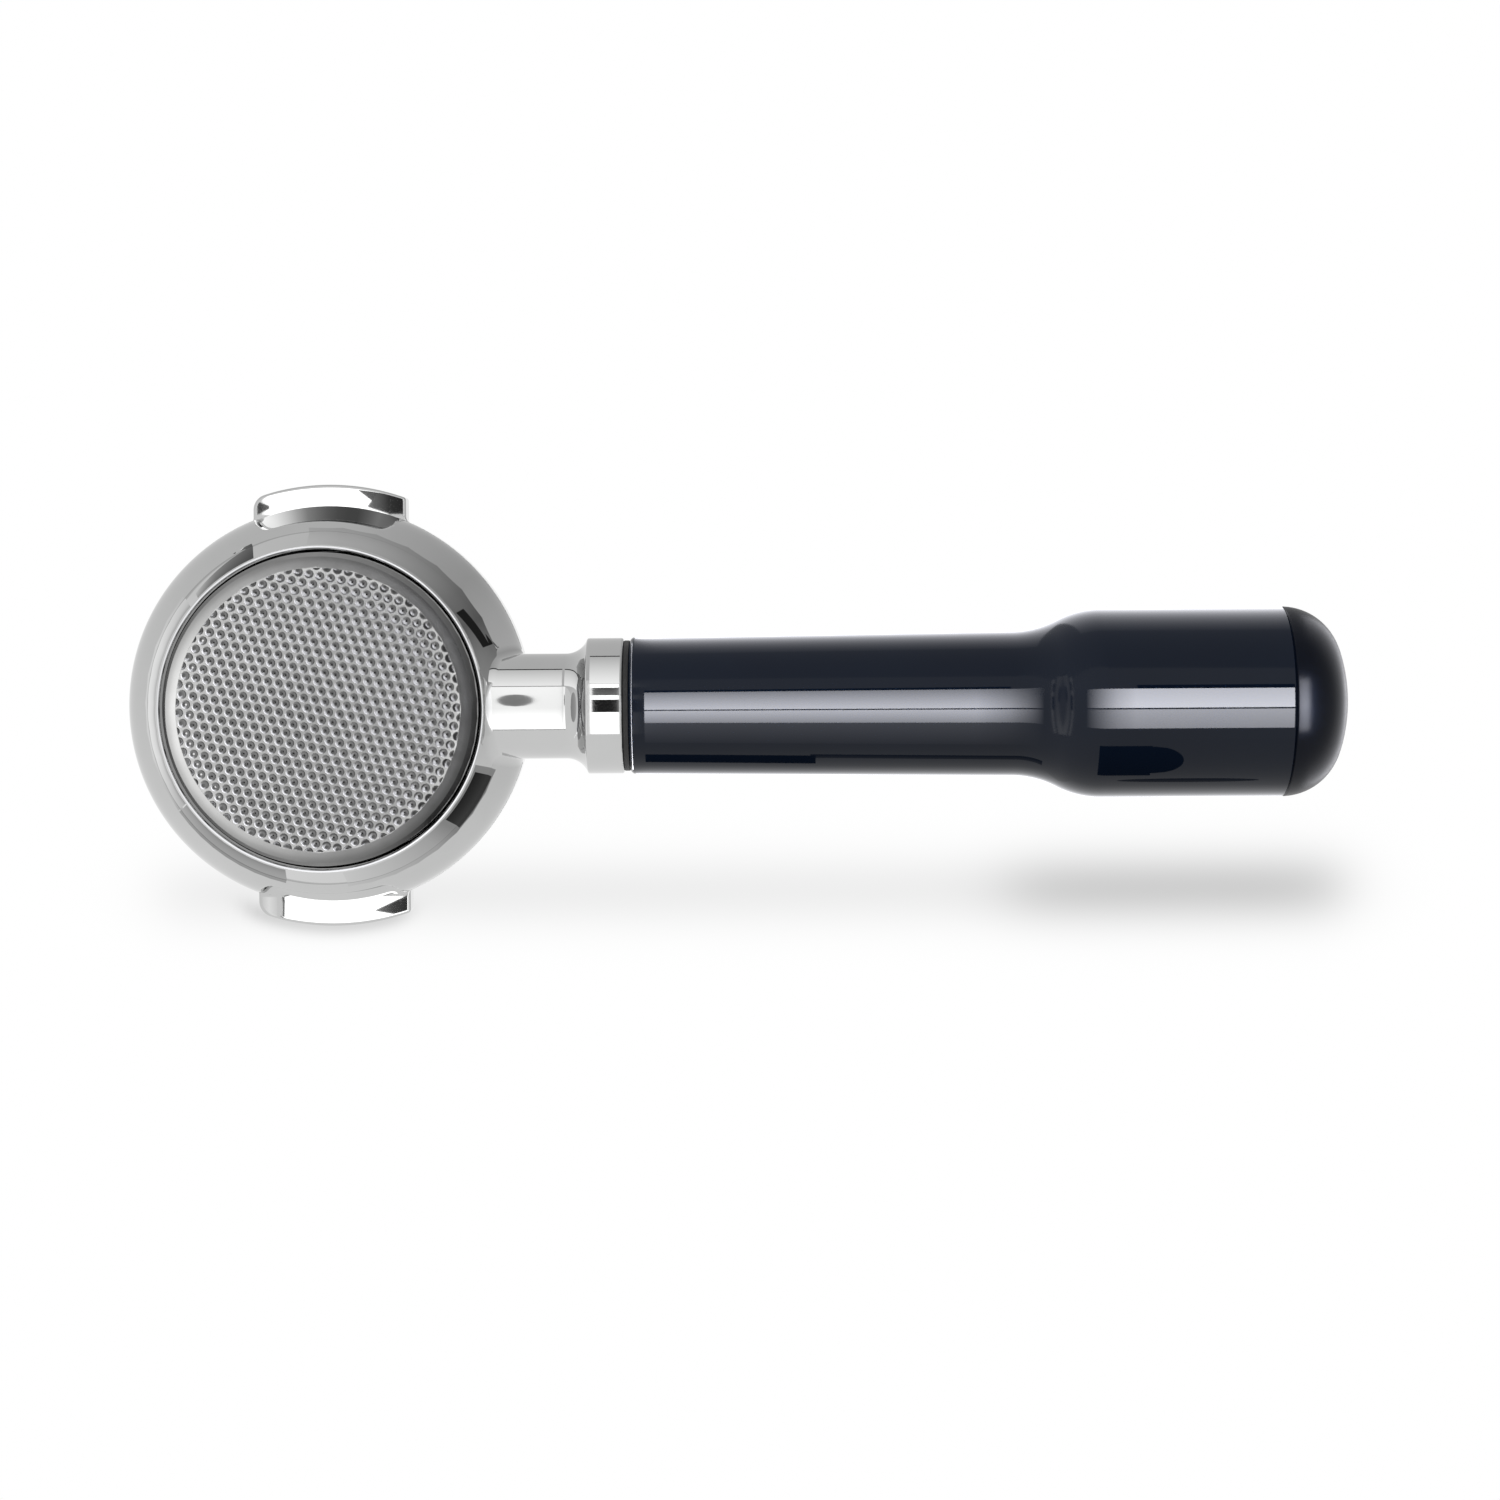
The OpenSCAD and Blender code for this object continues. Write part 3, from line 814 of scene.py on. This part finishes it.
# Pieces
casting = make_casting(chrome_finish())
basket = make_basket(basket_finish())
grip = make_grip(grip_finish())
cap = make_cap(cap_finish())
make_joint(rubber_finish())
inner_finishes = {
    "basket_spring": steel_finish("spring_steel", (0.55, 0.55, 0.54), 0.2, 0.3),
    "handle_bush": steel_finish("bush_brass", (0.70, 0.52, 0.22), 0.25, 0.35),
    "tie_rod": steel_finish("rod_steel", (0.50, 0.50, 0.49), 0.3, 0.4),
}
for node in ("flat_washer", "lock_washer", "tie_rod_nut"):
    inner_finishes[node] = inner_finishes["tie_rod"]
for node, material in inner_finishes.items():
    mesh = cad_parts[node].data
    mesh.materials.clear()
    mesh.materials.append(material)


# Stage
FILL_LIGHT = 0.45
FLOOR_HALF = 3000.0
FLOOR_DROP = 0.05
FLOOR_FADE = (0.2, 0.7)
WALL_R = 900.0
BACKING_R = 60.0
BACKING_DROP = 10.0
BACKDROP_Z = 600.0

# The soft shadow: its strengths, places and widths, as the eye sees them in the plane of the handle's axis
SHADE_SLIM, SHADE_THICK, SHADE_LUG = 0.137, 0.24, 0.26
SHADE_START, SHADE_SHOULDER, SHADE_END = -32.0, 130.0, 193.0
SHADE_SOFT, SHADE_SHOULDER_SOFT, SHADE_LUG_SOFT = 14.0, 16.0, 5.0
SHADE_Y = 35.5
SHADE_WIDE = 7.0
SHADE_MARGIN = 20.0
SHADE_LUG_X, SHADE_LUG_Y, SHADE_LUG_R = 0.9, -0.25, 42.0
SHADE_LUG_START, SHADE_LUG_END = -16.0, 15.0
SHADE_LUG_WIDE = 1.9

# Distances of the cards from the spots that mirror them
CLOSE = 0.8
NEAR = 1.2
OVER_LIP = 2.0
BESIDE = 4.8
ABOVE = 8.0
FRONT = 20.0
APART = 25.0
MIDDLE = 120.0
FAR = 400.0

# Lights of the cards, as shares of the white behind the object
BLACK = (0.02, 0.02)
GREY = (0.3, 0.3)
WHITE = (2.6, 2.6)
GLOW_TINT = (0.93, 0.935, 1.0)
GAP_Z = -24.0
GAP_LIGHT = (0.35, 0.35)


def set_world():
    """White behind the object and in its reflections, and an even fill for the rest."""
    world = bpy.data.worlds.new("studio")
    bpy.context.scene.world = world
    world.use_nodes = True
    nodes, links = world.node_tree.nodes, world.node_tree.links
    rays = nodes.new("ShaderNodeLightPath")
    shown = rays.outputs["Is Camera Ray"]
    for ray in ("Is Glossy Ray", "Is Transmission Ray"):
        either = nodes.new("ShaderNodeMath")
        either.operation = "MAXIMUM"
        links.new(shown, either.inputs[0])
        links.new(rays.outputs[ray], either.inputs[1])
        shown = either.outputs[0]
    level = nodes.new("ShaderNodeMapRange")
    level.inputs["To Min"].default_value = FILL_LIGHT
    level.inputs["To Max"].default_value = 1.0
    links.new(shown, level.inputs["Value"])
    back = nodes["Background"]
    back.inputs["Color"].default_value = (1, 1, 1, 1)
    links.new(level.outputs["Result"], back.inputs["Strength"])


def add_lamp(name, place, aim, size, power):
    """A soft square lamp, placed in millimetres, which reflections don't show."""
    lamp = bpy.data.lights.new(name, "AREA")
    lamp.size = size * MM
    lamp.energy = power
    holder = bpy.data.objects.new(name, lamp)
    holder.location = Vector(place) * MM
    holder.rotation_mode = "QUATERNION"
    holder.rotation_quaternion = (Vector(aim) - Vector(place)).to_track_quat("-Z", "Y")
    holder.visible_glossy = False
    bpy.context.scene.collection.objects.link(holder)


# Reflectors and flags, each laid where the eye sees it mirrored in a stretch of the object
def mirrored(spot, distance):
    """The place that the eye sees mirrored at a spot, given as a point and its normal."""
    point, normal = spot
    to_eye = (EYE - point).normalized()
    return point + (2 * normal.dot(to_eye) * normal - to_eye) * distance


def outward(azimuth):
    """The way out from the ring's axis, in degrees anticlockwise from the handle as the eye sees it."""
    return Vector((math.cos(math.radians(azimuth)), -math.sin(math.radians(azimuth)), 0))


def leaning(out, tilt):
    """A normal that leans outwards from straight down, in degrees."""
    return out * math.sin(math.radians(tilt)) - Vector((0, 0, math.cos(math.radians(tilt))))


def on_barrel(azimuths, first, last):
    """Spots on the barrel, at some heights at the first azimuth and at others at the last."""
    steep = math.hypot(1, BARREL_SLOPE)
    rows = []
    for share in between(0, 1, 9):
        out = outward(along(azimuths, share))
        normal = (out - Vector((0, 0, BARREL_SLOPE))) / steep
        heights = [along(ends, share) for ends in zip(first, last)]
        rows.append([(out * ring_r(z) + Vector((0, 0, z)), normal) for z in heights])
    return rows


def on_round(axis_r, radius, azimuths, tilts):
    """Spots on a round edge about the ring's axis, at the basket's bottom."""
    centre = Vector((0, 0, BASKET_Z + radius))
    rows = []
    for out in (outward(a) for a in between(*azimuths, 25)):
        normals = [leaning(out, tilt) for tilt in tilts]
        rows.append([(out * axis_r + centre + normal * radius, normal) for normal in normals])
    return rows


def on_lip():
    """Spots on the ring's lip, from its inner rounding to its outer one."""
    places = ((0.2, -25), (0.35, 0), (0.65, 0), (0.8, 25))
    rows = []
    for out in (outward(a) for a in between(0, 360, 73)):
        rows.append([(out * (BORE_R + LIP_W * share) - Vector((0, 0, RING_H)), leaning(out, tilt))
                     for share, tilt in places])
    return rows


def on_bar(radius, stations, tilts, lens=False):
    """Spots on a round bar along the handle's axis. Tilts are in degrees, down the view."""
    rows = []
    middle, half = sum(stations) / 2, (stations[1] - stations[0]) / 2
    for share in between(-1, 1, 25):
        tilt = math.radians((tilts[0] + tilts[1] + share * (tilts[1] - tilts[0])) / 2)
        normal = Vector((0, math.sin(tilt), -math.cos(tilt)))
        reach = half * math.sqrt(max(0.001, 1 - share ** 2)) if lens else half
        places = between(middle - reach, middle + reach, 13)
        rows.append([(Vector((x, 0, AXIS_Z)) + normal * radius, normal) for x in places])
    return rows


def on_field():
    """Spots on the basket's flat bottom, from the far side to the handle's side."""
    rows = []
    for x in between(-FIELD_R, FIELD_R, 25):
        half = math.sqrt(max(0.01, FIELD_R ** 2 - x ** 2))
        rows.append([(Vector((x, y, BASKET_Z)), Vector((0, 0, -1))) for y in (-half, half)])
    return rows


def on_lug(stations, first, last, rise=0.0):
    """Spots on the face under a lug, from one pair of reaches to another. Its start slopes by a rise."""
    normal = Vector((-rise, 0, -1)).normalized()
    rows = []
    for share in between(0, 1, 5):
        x = along(stations, share)
        z = LUG_FACE + rise * (LEAD_LEN - LUG_HALF - x)
        rows.append([(Vector((x, along(reaches, share), z)), normal) for reaches in zip(first, last)])
    return rows


def card_finish(name, clear):
    """Light as strong as the card's own points say, over what is behind it if the card is clear."""
    material = bpy.data.materials.new(name)
    material.use_nodes = True
    nodes, links = material.node_tree.nodes, material.node_tree.links
    nodes.remove(nodes["Principled BSDF"])
    glow = nodes.new("ShaderNodeAttribute")
    glow.attribute_name = "glow"
    light = nodes.new("ShaderNodeEmission")
    links.new(glow.outputs["Fac"], light.inputs["Strength"])
    surface = light.outputs[0]
    if clear:
        light.inputs["Color"].default_value = (*GLOW_TINT, 1)
        both = nodes.new("ShaderNodeAddShader")
        links.new(surface, both.inputs[0])
        links.new(nodes.new("ShaderNodeBsdfTransparent").outputs[0], both.inputs[1])
        surface = both.outputs[0]
    links.new(surface, nodes["Material Output"].inputs["Surface"])
    return material


CARD = card_finish("card", clear=False)
CLEAR_CARD = card_finish("clear_card", clear=True)


def hide_from(piece, *rays):
    """Keeps a part of the stage out of these kinds of rays."""
    for ray in rays:
        setattr(piece, "visible_" + ray, False)


def add_sheet(name, rows, glow, receivers=None, fade=(1, 1)):
    """A sheet through rows of points, which only reflections show.

    Its light changes from row to row and fades along each row. A sheet with receivers lights those
    pieces alone, and is clear to the others."""
    bm = bmesh.new()
    skin(bm, rows, closed=False)
    last, wide = len(rows) - 1, len(rows[0])
    glows = [along(glow, i // wide / last) * along(fade, i % wide / (wide - 1))
             for i in range(len(bm.verts))]
    card = as_object(as_mesh(bm, name), name)
    give_points(card.data, "glow", glows)
    card.data.materials.append(CLEAR_CARD if receivers else CARD)
    hide_from(card, "camera", "diffuse", "shadow", "transmission")
    if receivers:
        card.light_linking.receiver_collection = receivers


def add_card(name, spots, distance, glow, receivers=None, fade=(1, 1)):
    """A card that the eye sees mirrored in these spots."""
    rows = [[mirrored(spot, distance) for spot in row] for row in spots]
    add_sheet(name, rows, glow, receivers, fade)


def group_of(name, *pieces):
    """The pieces that a card lights."""
    group = bpy.data.collections.new(name)
    for piece in pieces:
        group.objects.link(piece)
    return group


def add_walls():
    """The room's walls and part of its ceiling, brighter to the far side and to the bottom of the view."""
    section = ((WALL_R, -WALL_R), (WALL_R, WALL_R / 2), (WALL_R / 4, WALL_R))
    rows = [[outward(a) * r + Vector((0, 0, z)) for r, z in section] for a in between(0, 360, 49)]
    add_sheet("walls", rows, (0.75, 0.5, 0.72, 0.82, 0.95, 1.03, 1.0, 0.93, 0.75))


def barrel_heights(*shares):
    """Heights on the barrel, from a share of 0 at the crease to 1 at the lip."""
    return [CREASE_Z + (LIP_Z - CREASE_Z) * share for share in shares]


def add_barrel_cards(receivers):
    whole = barrel_heights(0, 0.33, 0.67, 1)
    patch = barrel_heights(0, 0.43, 0.86)
    wedge = barrel_heights(0.55, 0.7, 0.85, 1)
    slant = (barrel_heights(0.36, 0.85), barrel_heights(0, 0.42))
    add_card("barrel_handle_side_up", on_barrel((94, 8), whole, whole), NEAR,
             (0.71, 0.63, 0.57, 0.48, 0.38, 0.26, 0.17, 0.3, 0.4), fade=(0.85, 1, 1))
    add_card("flag_handle_side_up", on_barrel((35, 20.5), *slant), CLOSE, BLACK)
    add_card("lip", on_lip(), OVER_LIP, (0.2, 0.7, 0.7, 0.6, 0.4, 0.7, 0.9, 0.8, 0.2), receivers)
    add_card("barrel_handle_side_down", on_barrel((-20, -83), whole, whole), NEAR,
             (0.4, 0.32, 0.32, 0.6, 0.72, 0.83, 0.93))
    add_card("flag_handle_side_down", on_barrel((-22.5, -42), patch, patch), CLOSE,
             (0.04, 0.05), fade=(1.6, 1, 0.6))
    add_card("flag_far_side_up", on_barrel((113, 137), whole, wedge), CLOSE,
             (0.13, 0.2, 0.28, 0.55), fade=(1.4, 1.1, 0.8))
    add_card("flag_far_side_down", on_barrel((-103, -145), whole, whole), NEAR,
             (0.56, 0.52, 0.5, 0.6), fade=(1.05, 1, 0.75))
    add_card("barrel_far_side", on_barrel((141, 214.5), whole, whole), NEAR,
             (0.84, 1.04, 1.08, 1.05, 0.72), fade=(1.1, 1.05, 0.95, 0.6))


def add_basket_cards(receivers):
    corner = (FIELD_R, BASKET_CORNER, (0, 360))
    gap = (BASKET_R - 0.1, BORE_R - 0.02)
    add_card("field", on_field(), APART, (0.74, 0.5, 0.39))
    add_card("corner", on_round(*corner, (3, 17, 32, 46)), NEAR,
             (0.09, 0.13, 0.32, 0.64, 1.3, 0.88, 0.44, 0.18, 0.09), fade=(1, 0.9, 0.7, 0.6))
    add_card("corner_outside", on_round(*corner, (46, 88)), NEAR,
             (0.04, 0.15, 0.3, 0.22, 0.06, 0.14, 0.3, 0.02, 0.04))
    add_card("dimples", on_round(0, 0, (-30, 110), (8, 20, 32, 44)), FAR, (0.7, 2.8, 2.8, 0.7), receivers)
    rows = [[outward(a) * r + Vector((0, 0, GAP_Z)) for r in gap] for a in between(0, 360, 97)]
    add_sheet("gap", rows, GAP_LIGHT)


def add_neck_cards():
    neck = (BORE_R + 1.5, FLARE_START - 0.3)
    spot = (33.2, 39.8)
    hub = (HUB_END - HUB_LEN + 0.8, HUB_END)
    hub_back = (hub[0] + 0.4, HUB_END)
    before = MIDDLE - 5
    add_card("neck", on_bar(NECK_R, neck, (-23.6, 23.4)), MIDDLE, (1.7, 1.6, 2.6))
    add_card("neck_high", on_bar(NECK_R, neck, (-45, -24.4)), ABOVE, (0.9, 1.5))
    add_card("neck_top_line", on_bar(NECK_R, neck, (-46.4, -45)), ABOVE, BLACK)
    add_card("neck_upper_line", on_bar(NECK_R, neck, (-24.4, -23.6)), MIDDLE, GREY)
    add_card("neck_lower_line", on_bar(NECK_R, neck, (23.4, 24.2)), MIDDLE, GREY)
    add_card("neck_spot", on_bar(NECK_R, spot, (-15, -2), lens=True), before, (0.36, 0.3))
    add_card("hub", on_bar(HUB_R, hub, (-20.5, 22)), MIDDLE, WHITE)
    add_card("hub_high", on_bar(HUB_R, hub, (-47.5, -21)), ABOVE, (0.75, 1.6))
    add_card("hub_high_line", on_bar(HUB_R, hub, (-48.6, -47.5)), ABOVE, BLACK)
    add_card("hub_brown", on_bar(HUB_R, hub_back, (-17.3, -10.8)), before, (0.12, 0.25))
    add_card("hub_black", on_bar(HUB_R, hub_back, (-7.2, 3.2)), before, BLACK)


def add_lug_cards():
    """Cards in front of the lugs' faces. The lug with reaches below 0 is the upper one in the view."""
    lead_end = LEAD_LEN - LUG_HALF
    slope = LEAD_H / LEAD_LEN
    up = (-RELIEF_R - 1.5, -LUG_R - 1)
    down = (RELIEF_R + 1.5, LUG_R + 1)
    past = LUG_HALF + 1
    end = 11.5
    add_card("lug_up", on_lug((lead_end - 9, end), up, up), FRONT, WHITE)
    add_card("lug_end_up", on_lug((end, past), up, up), FRONT, (0.06, 0.02))
    add_card("lug_tip_outer", on_lug((5.6, end), (-41.4, -41.6), up), FRONT - 1, (0.3, 0.06))
    add_card("lug_tip_inner", on_lug((7.4, end), (-38.2, -38.4), up), FRONT - 2, (0.3, 0.06))
    add_card("lug_down", on_lug((lead_end, past), down, down), FRONT, WHITE)
    add_card("lug_end_down", on_lug((8, LUG_HALF), (39.4, 39.6), (36.3, 40.8)), FRONT - 1,
             (0.35, 0.1, 0.04))
    add_card("lug_lead", on_lug((-13, lead_end), up, up, slope), FRONT, (1.6, 2.6, 2.6))
    add_card("lug_lead_down", on_lug((-LUG_HALF, lead_end), down, down, slope), FRONT, (0.95, 1.3, 1.0))
    add_card("lug_nose", on_lug((-13.9, -11), (-36.8, -39.4), (-38.2, -38.4), slope), FRONT - 1,
             (0.05, 0.3))
    add_card("lug_lead_line", on_lug((lead_end, lead_end + 0.5), down, down), FRONT - 1, (0.1, 0.3))
    cove_r = RELIEF_R + RELIEF_COVE
    under = ((RELIEF_R + 0.1, 1.8), (cove_r + 0.4, 1.8), (cove_r + 0.5, 0.05))
    rows = [[(x, -math.sqrt(r ** 2 - x ** 2), LUG_FACE - drop) for r, drop in under]
            for x in between(-12.5, 13.5, 14)]
    add_sheet("cove", rows, (1.7, 1.1, 0.4, 0.2, 0.1, 0.1, 0.3, 0.1))


def add_grip_cards(receivers):
    whole = (GRIP_START, GRIP_SEAM + 4)
    slim = (GRIP_START + 3, SHOULDER_START + 5)
    thick = (SHOULDER_END - 5, GRIP_SEAM - 0.5)
    streak = slim[0] + 32
    patch = (SHOULDER_END - 2, SHOULDER_END + 8)
    tip = (SHOULDER_END + 3, SHOULDER_END + 14)
    end_streak = (SHOULDER_END + 2, GRIP_SEAM - 6)
    fade_out = (1,) * 11 + (0.6, 0)
    fade_in = (0, 0.35, 0.75) + (1,) * 10
    front = ((0.15, HUB_R + 0.6), (0.5, HUB_R + 1.4))
    rows = []
    for tilt in (math.radians(t) for t in between(-80, 80, 33)):
        rows.append([(GRIP_START - reach, r * math.sin(tilt), AXIS_Z - r * math.cos(tilt))
                     for reach, r in front])
    add_sheet("grip_front", rows, (12, 22, 60, 70, 50), receivers)
    add_card("grip_high", on_bar(WAIST_R, slim, (-13.2, 1.6)), CLOSE, (12, 32), receivers, fade_out)
    add_card("grip_low", on_bar(WAIST_R, slim, (2.6, 13)), CLOSE, (28, 14), receivers, fade_out)
    add_card("grip_tail", on_bar(WAIST_R, slim, (13, 32)), CLOSE, (2.2, 0.2), receivers, fade_out)
    add_card("end_high", on_bar(GRIP_R, thick, (-10.2, 1.1)), CLOSE, (30, 39), receivers, fade_in)
    add_card("end_low", on_bar(GRIP_R, thick, (2.0, 13.4)), CLOSE, (22, 15), receivers, fade_in)
    add_card("rim_high", on_bar(WAIST_R, whole, (-89, -50)), FAR, (5, 2.5, 0.2), receivers)
    add_card("rim_low", on_bar(WAIST_R, whole, (58, 89)), FAR, (0.05, 0.7, 1.6), receivers)
    add_card("grip_line", on_bar(WAIST_R, (slim[0], slim[1] - 6), (-15, -13.3)), NEAR, BLACK)
    add_card("grip_streak", on_bar(WAIST_R, (slim[0], streak), (45, 56)), NEAR, BLACK)
    add_card("grip_thin_streak", on_bar(WAIST_R, (streak - 1, slim[1]), (43.5, 48)), NEAR, (0.1, 0.4))
    add_card("end_line", on_bar(GRIP_R, (thick[0] + 10, thick[1]), (-12.4, -10.3)), NEAR, BLACK)
    add_card("end_patch", on_bar(GRIP_R, patch, (24.5, 47)), NEAR, BLACK)
    add_card("end_tip", on_bar(GRIP_R, tip, (25, 45), lens=True), NEAR, BLACK)
    add_card("end_streak", on_bar(GRIP_R, end_streak, (50, 54), lens=True), NEAR, (0.1, 0.3))


def add_end_cap_cards(receivers):
    near_seam = (GRIP_SEAM + 1, GRIP_SEAM + 5)
    add_card("cap_seam", on_bar(GRIP_R, near_seam, (-16, 16)), BESIDE, (16, 34, 16), receivers)
    behind = [[(FAR, side * FAR, z) for side in (-1, 1)] for z in (0, FAR)]
    add_sheet("cap_rim", behind, (0.4, 2.5), receivers)


def add_cards():
    add_walls()
    add_barrel_cards(group_of("ring_alone", casting))
    add_basket_cards(group_of("basket_alone", basket))
    add_neck_cards()
    add_lug_cards()
    add_grip_cards(group_of("grip_alone", grip))
    add_end_cap_cards(group_of("cap_alone", cap))


# Floor and backdrop
def one_sided(material):
    """Lets the eye through a surface from behind."""
    nodes, links = material.node_tree.nodes, material.node_tree.links
    side = nodes.new("ShaderNodeNewGeometry")
    clear = nodes.new("ShaderNodeBsdfTransparent")
    mix = nodes.new("ShaderNodeMixShader")
    surface = nodes["Material Output"].inputs["Surface"]
    links.new(side.outputs["Backfacing"], mix.inputs["Fac"])
    links.new(surface.links[0].from_socket, mix.inputs[1])
    links.new(clear.outputs[0], mix.inputs[2])
    links.new(mix.outputs[0], surface)


def add_backdrop(bm, name, material):
    """A part of the stage that only the eye sees, and from one side."""
    one_sided(material)
    piece = as_object(as_mesh(bm, name), name)
    piece.data.materials.append(material)
    hide_from(piece, "shadow", "glossy", "diffuse", "transmission")
    return piece


def add_floor():
    """A pale floor under the object, which only an eye above it sees."""
    bm = bmesh.new()
    bmesh.ops.create_grid(bm, x_segments=1, y_segments=1, size=FLOOR_HALF,
                          matrix=Matrix.Translation((EYE_AIM.x, 0, grip_low.z - FLOOR_DROP)))
    finish = Finish("pale_floor", (0.86, 0.86, 0.86), roughness=0.9)
    finish.uneven_roughness(20, 0.85, 0.95)
    finish.glows_away_from_middle(*FLOOR_FADE)
    add_backdrop(bm, "floor", finish.material)


def onto_backdrop(spot):
    """Where the eye sees a spot of the object against the backdrop behind it."""
    return EYE + (spot - EYE) * (BACKDROP_Z - EYE.z) / (spot.z - EYE.z)


def soft_step(value, middle, width):
    """Rises softly from 0 to 1 about a middle value."""
    return 1 / (1 + math.exp((middle - value) * 4 / width))


def shade_at(x, y):
    """The share of light that is missing from the backdrop, below the handle and one lug in the view."""
    end = soft_step(-x, -SHADE_END, SHADE_SOFT)
    slim = SHADE_SLIM * soft_step(x, SHADE_START, SHADE_SOFT) * end
    thick = SHADE_THICK * soft_step(x, SHADE_SHOULDER, SHADE_SHOULDER_SOFT) * end
    shade = (slim + thick) * math.exp(-((y - SHADE_Y) / SHADE_WIDE) ** 2)
    if y > 0:
        off_edge = math.hypot(x - SHADE_LUG_X, y - SHADE_LUG_Y) - SHADE_LUG_R
        shade += (SHADE_LUG * math.exp(-(off_edge / SHADE_LUG_WIDE) ** 2)
                  * soft_step(x, SHADE_LUG_START, SHADE_LUG_SOFT)
                  * soft_step(-x, -SHADE_LUG_END, SHADE_LUG_SOFT))
    return shade


def add_soft_shadow():
    """A white backdrop with the soft shadow of handle and lug, which only an eye below sees."""
    rows = []
    glows = []
    for x in between(SHADE_START - SHADE_MARGIN, SHADE_END + SHADE_MARGIN, 161):
        across = between(SHADE_Y - 4 * SHADE_WIDE, SHADE_Y + 4 * SHADE_WIDE, 97)
        rows.append([onto_backdrop(Vector((x, y, AXIS_Z))) for y in across])
        glows.extend(1 - shade_at(x, y) for y in across)
    bm = bmesh.new()
    skin(bm, rows, closed=False)
    bm.normal_update()
    bmesh.ops.reverse_faces(bm, faces=[f for f in bm.faces if f.normal.z > 0])
    backdrop = add_backdrop(bm, "soft_shadow", card_finish("soft_shadow", clear=False))
    give_points(backdrop.data, "glow", glows)


def add_painted_hole_shade():
    """Painted shade seen through the basket's holes: a dark round far behind, which only an eye below sees.
    """
    bm = bmesh.new()
    bmesh.ops.create_circle(bm, cap_ends=True, segments=48, radius=BACKING_R)
    bmesh.ops.reverse_faces(bm, faces=bm.faces)
    place = onto_backdrop(Vector((0, 0, BASKET_Z / 2))) - Vector((0, 0, BACKING_DROP))
    bmesh.ops.translate(bm, verts=bm.verts, vec=place)
    add_backdrop(bm, "basket_backing", Finish("painted_hole_shade_backing", (0.02, 0.02, 0.02), roughness=0.9).material)


def add_camera():
    handle_way = Vector((1, 0, 0))
    down = Vector((0, math.cos(EYE_TILT), -math.sin(EYE_TILT)))
    right = handle_way * math.cos(EYE_ROLL) + down * math.sin(EYE_ROLL)
    up = handle_way * math.sin(EYE_ROLL) - down * math.cos(EYE_ROLL)
    lens = bpy.data.cameras.new("eye")
    lens.sensor_width = EYE_SENSOR
    lens.lens = EYE_LENS
    lens.clip_start = 0.01
    eye = bpy.data.objects.new("eye", lens)
    turned = Matrix((right, up, -FORWARD)).transposed().to_4x4()
    eye.matrix_world = Matrix.Translation(EYE * MM) @ turned
    bpy.context.scene.collection.objects.link(eye)
    bpy.context.scene.camera = eye


set_world()
add_floor()
add_soft_shadow()
add_painted_hole_shade()
add_camera()
add_lamp("soft_above", (-250, -500, 700), (80, 0, 0), 500, 6)
add_lamp("soft_below", (-200, -420, -600), (80, 0, -16), 420, 3)
add_cards()
bpy.context.scene.view_settings.view_transform = "Standard"
